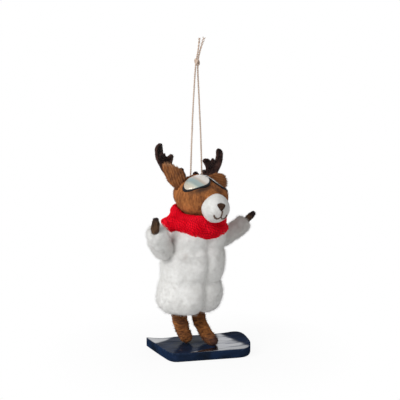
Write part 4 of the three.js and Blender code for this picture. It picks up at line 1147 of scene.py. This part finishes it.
foam_width, foam_rise = 1.5, 0.5
frame_profile = [(0, goggle_back), (0, 0.3), (0.08, 0.55), (0.2, 0.62), (0.34, 0.55), (0.4, 0.2),
                 (0.4, goggle_back)]
frame_rings, frame_line = [], goggle_line(0)
foam_out = foam_below(frame_line[:, 0], frame_line[:, 1]) * (foam_rise + pressed_in(frame_line[:, 0]))
for inset, out in frame_profile:
    ring, height = below_rim(goggle_line(inset)), np.full(len(frame_line), out)
    if inset < 0.3:
        ring = goggle_line(inset, foam_width)
        height = height + foam_out
    frame_rings.append(on_forehead(ring, height))
goggle_frame = new_piece("goggle_rubber_frame", *skin(in_head(frame_rings) * mm, closed=True), rubber)
fasten("figure", "goggle_rubber", goggle_frame)
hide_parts("goggle_frame")

film, tree, shader = new_material("pearly film", {
    "Metallic": 0.1, "Roughness": 0.22, "Specular IOR Level": 0.4})
place = node(tree, "TexCoord").outputs["Object"]
bent = noise(tree, place, 110.0, 2.0)
shift = vectors(tree, "MULTIPLY", noise(tree, place, 110.0, 2.0, as_vector=True), (0.0035, 0.0035, 0.0035))
swayed = vectors(tree, "ADD", place, shift)
film_slope = np.array((0.527, -0.094, 0.844))
band = vectors(tree, "DOT_PRODUCT", swayed, tuple(film_slope / mm))
lens_profile = [(0.02, -0.3), (0.98, -0.3), (1, -0.1), (1, 0.45), (1.02, 0.72), (1.015, 0.85), (0.985, 0.96),
                (0.93, 1.0), (0.8, 1.03), (0.6, 1.06), (0.4, 1.08), (0.2, 1.08), (0.02, 1.08)]
lobes = {}
for side_name, side, lens_inset in (("right", -1, 0.3), ("left", 1, 0.5)):
    line = below_rim(goggle_line(lens_inset))
    lobe = line[line[:, 0] * side >= 0.12]
    lobe = lobe[np.argsort(np.arctan2(lobe[:, 1], lobe[:, 0] - side * 6.4))]
    centre = np.array((side * 6.6, 0.2))
    lobes[side_name] = in_head([on_forehead(centre + (lobe - centre) * share, np.full(len(lobe), out))
                                for share, out in lens_profile])
heights = lobes["right"] @ film_slope
ramp = node(tree, "ValToRGB", {0: spread(tree, band, heights.min() + 1.75, heights.max() + 1.75)})
pearl = [(0, (0.5, 0.5, 0.42)), (0.28, (0.6, 0.54, 0.44)), (0.4, (0.5, 0.55, 0.48)),
         (0.48, (0.24, 0.34, 0.35)), (0.62, (0.28, 0.4, 0.41)), (0.72, (0.52, 0.44, 0.38)),
         (0.84, (0.78, 0.75, 0.72)), (1, (0.9, 0.9, 0.9))]
for index, (position, colour) in enumerate(pearl):
    stop = ramp.color_ramp.elements[index] if index < 2 else ramp.color_ramp.elements.new(position)
    stop.position, stop.color = position, (*colour, 1)
blue_side = spread(tree, vectors(tree, "DOT_PRODUCT", swayed, (-600.0, 0, 800.0)), 88.0, 96.0, 0.0, 0.55)
blued = mixed(tree, blue_side, ramp.outputs[0], (0.3, 0.4, 0.45, 1))
tinged = mixed(tree, spread(tree, bent, 0.35, 0.65, 0.0, 0.35), blued, (0.62, 0.5, 0.36, 1))
# A dark reflection is painted over the deer's left lens, away from the bridge
darkly_mirrored = mixed(tree, point_value(tree, "dark_reflection"), tinged, (0.06, 0.05, 0.03, 1))
tree.links.new(darkly_mirrored, shader.inputs["Base Color"])
tree.links.new(spread(tree, bent, 0.3, 0.7, 0.16, 0.3), shader.inputs["Roughness"])
for side_name, lens_rings in lobes.items():
    lens = new_piece("lens_" + side_name + "_film", *skin(lens_rings * mm), film)
    # How strongly the painted dark reflection shows, growing toward the deer's left
    give_tint(lens, "dark_reflection", np.clip((lens_rings[..., 0] - 5.5) / 3.5, 0, 0.92))
    fasten("figure", "mirror_film", lens)
    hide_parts("goggle_lens_" + side_name)

# Scarf
# A strip of fine red knitting, wound round the neck in two soft rolls with its edges turned in. A fold of it
# stands out at the deer's right. Light is painted onto its little stitches, and shade in dark red between
# them.
scarf_middle = np.array([2, 4.3, 83.2])
scarf_radius, scarf_height, scarf_thickness = 17.4, 12.8, 7.6
scarf_around, scarf_across = 460, 150
fold_bearing = math.radians(152)
bearing = (np.arange(scarf_around) * math.tau / scarf_around)[:, None]
bend = (np.linspace(-0.86, 0.86, scarf_across) * math.pi)[None]
upper, lower = np.clip(np.sin(bend), 0, 1), np.clip(-np.sin(bend), 0, 1)
sway = 1 + 0.05 * np.sin(3 * bearing + 1) + 0.04 * np.sin(5 * bearing)
crease = hump(3.0 * np.sin(bend - 0.12 + 0.28 * np.sin(bearing + 0.6)), 1)
reach = sway * (scarf_thickness / 2) * np.cos(bend) - 1.7 * np.cos(bend) * crease
behind_right = hump(bearing - math.radians(150), 0.5)
rise = sway * (scarf_height / 2) * np.sin(bend) + 1.4 * behind_right * upper
lean_out = 4.2 * hump(bearing - fold_bearing, 0.36) * hump(bend + 0.15, 0.42)
lean_out += 2.4 * hump(bearing - fold_bearing, 0.6) * hump(bend + 0.75, 0.6)
lean_out += behind_right * (1.0 * upper + 3.8 * lower)
lean_out += 0.7 * hump(np.sin(bearing / 2), 0.35)
out = scarf_radius - scarf_thickness / 2 + reach + lean_out
drop = 3.2 * (1 - np.sin(bearing)) / 2 + 2.2 * (1 + np.cos(bearing)) / 2
scarf_sheet = np.stack([
    scarf_middle[0] + out * np.cos(bearing), scarf_middle[1] + out * np.sin(bearing),
    scarf_middle[2] - drop + rise], -1)
rows_round, stitches_round, row_gap, roll_reach = 20, 72, 1.3, 5.6
row_phase = np.random.default_rng(72).random(rows_round) * math.tau
uneven_rows, uneven_stitches = 0.4 * lumps(scarf_sheet, 5.0, 70), 0.45 * lumps(scarf_sheet, 4.0, 74)
row = rows_round * bearing / math.tau + bend * roll_reach / row_gap + uneven_rows
along_row = stitches_round * bearing / math.tau + 0.25 * bend * roll_reach + uneven_stitches
phase = row_phase[np.floor(row).astype(int) % rows_round]
stitch = (0.6 + 0.4 * np.cos(math.tau * along_row + phase)) * np.abs(np.sin(math.pi * row)) ** 0.6
tangent_round = np.roll(scarf_sheet, -1, 0) - np.roll(scarf_sheet, 1, 0)
tangent_cross = np.gradient(scarf_sheet, axis=1)
scarf_normal = np.cross(tangent_round, tangent_cross)
scarf_normal /= np.linalg.norm(scarf_normal, axis=-1, keepdims=True)
rumple = 0.4 * lumps(scarf_sheet * (1, 1, 1.6), 6.0, 71)
outer_face = scarf_sheet + scarf_normal * (0.48 * (stitch - 0.5) + rumple)[..., None]
inner_face = scarf_sheet - scarf_normal * 1.1
section = np.concatenate([outer_face, inner_face[:, ::-1]], 1)
knit, tree, shader = new_material("red knit", {"Roughness": 0.75, "Specular IOR Level": 0.03})
place = node(tree, "TexCoord").outputs["Object"]
uneven = spread(tree, noise(tree, place, 160.0, 3.0), 0.35, 0.65)
lit = mixed(tree, uneven, (0.72, 0.002, 0.012, 1), (0.92, 0.008, 0.026, 1))
# The stitches' tops are painted lighter red as light, and the valleys between them dark red as shade
stitch_light_and_shade = mixed(tree, spread(tree, point_value(tree, "stitch"), 0.0, 0.5), (0.24, 0.0, 0.006, 1), lit)
tree.links.new(stitch_light_and_shade, shader.inputs["Base Color"])
raise_grain(tree, shader, noise(tree, place, 1500.0, 3.0), 0.4, 0.0003)
scarf = new_piece("scarf_knit", *skin(section * mm, closed=True), knit)
give_tint(scarf, "stitch", np.concatenate([stitch, np.zeros_like(stitch)], 1))
scarf_fibres = loose_fibres("scarf_fibres", scarf, 4500, 1.3 * mm, 0.4 * mm, 73, thickness=0.034 * mm)
fasten("figure", "red_knit", scarf, scarf_fibres)
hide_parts("scarf")

low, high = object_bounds()
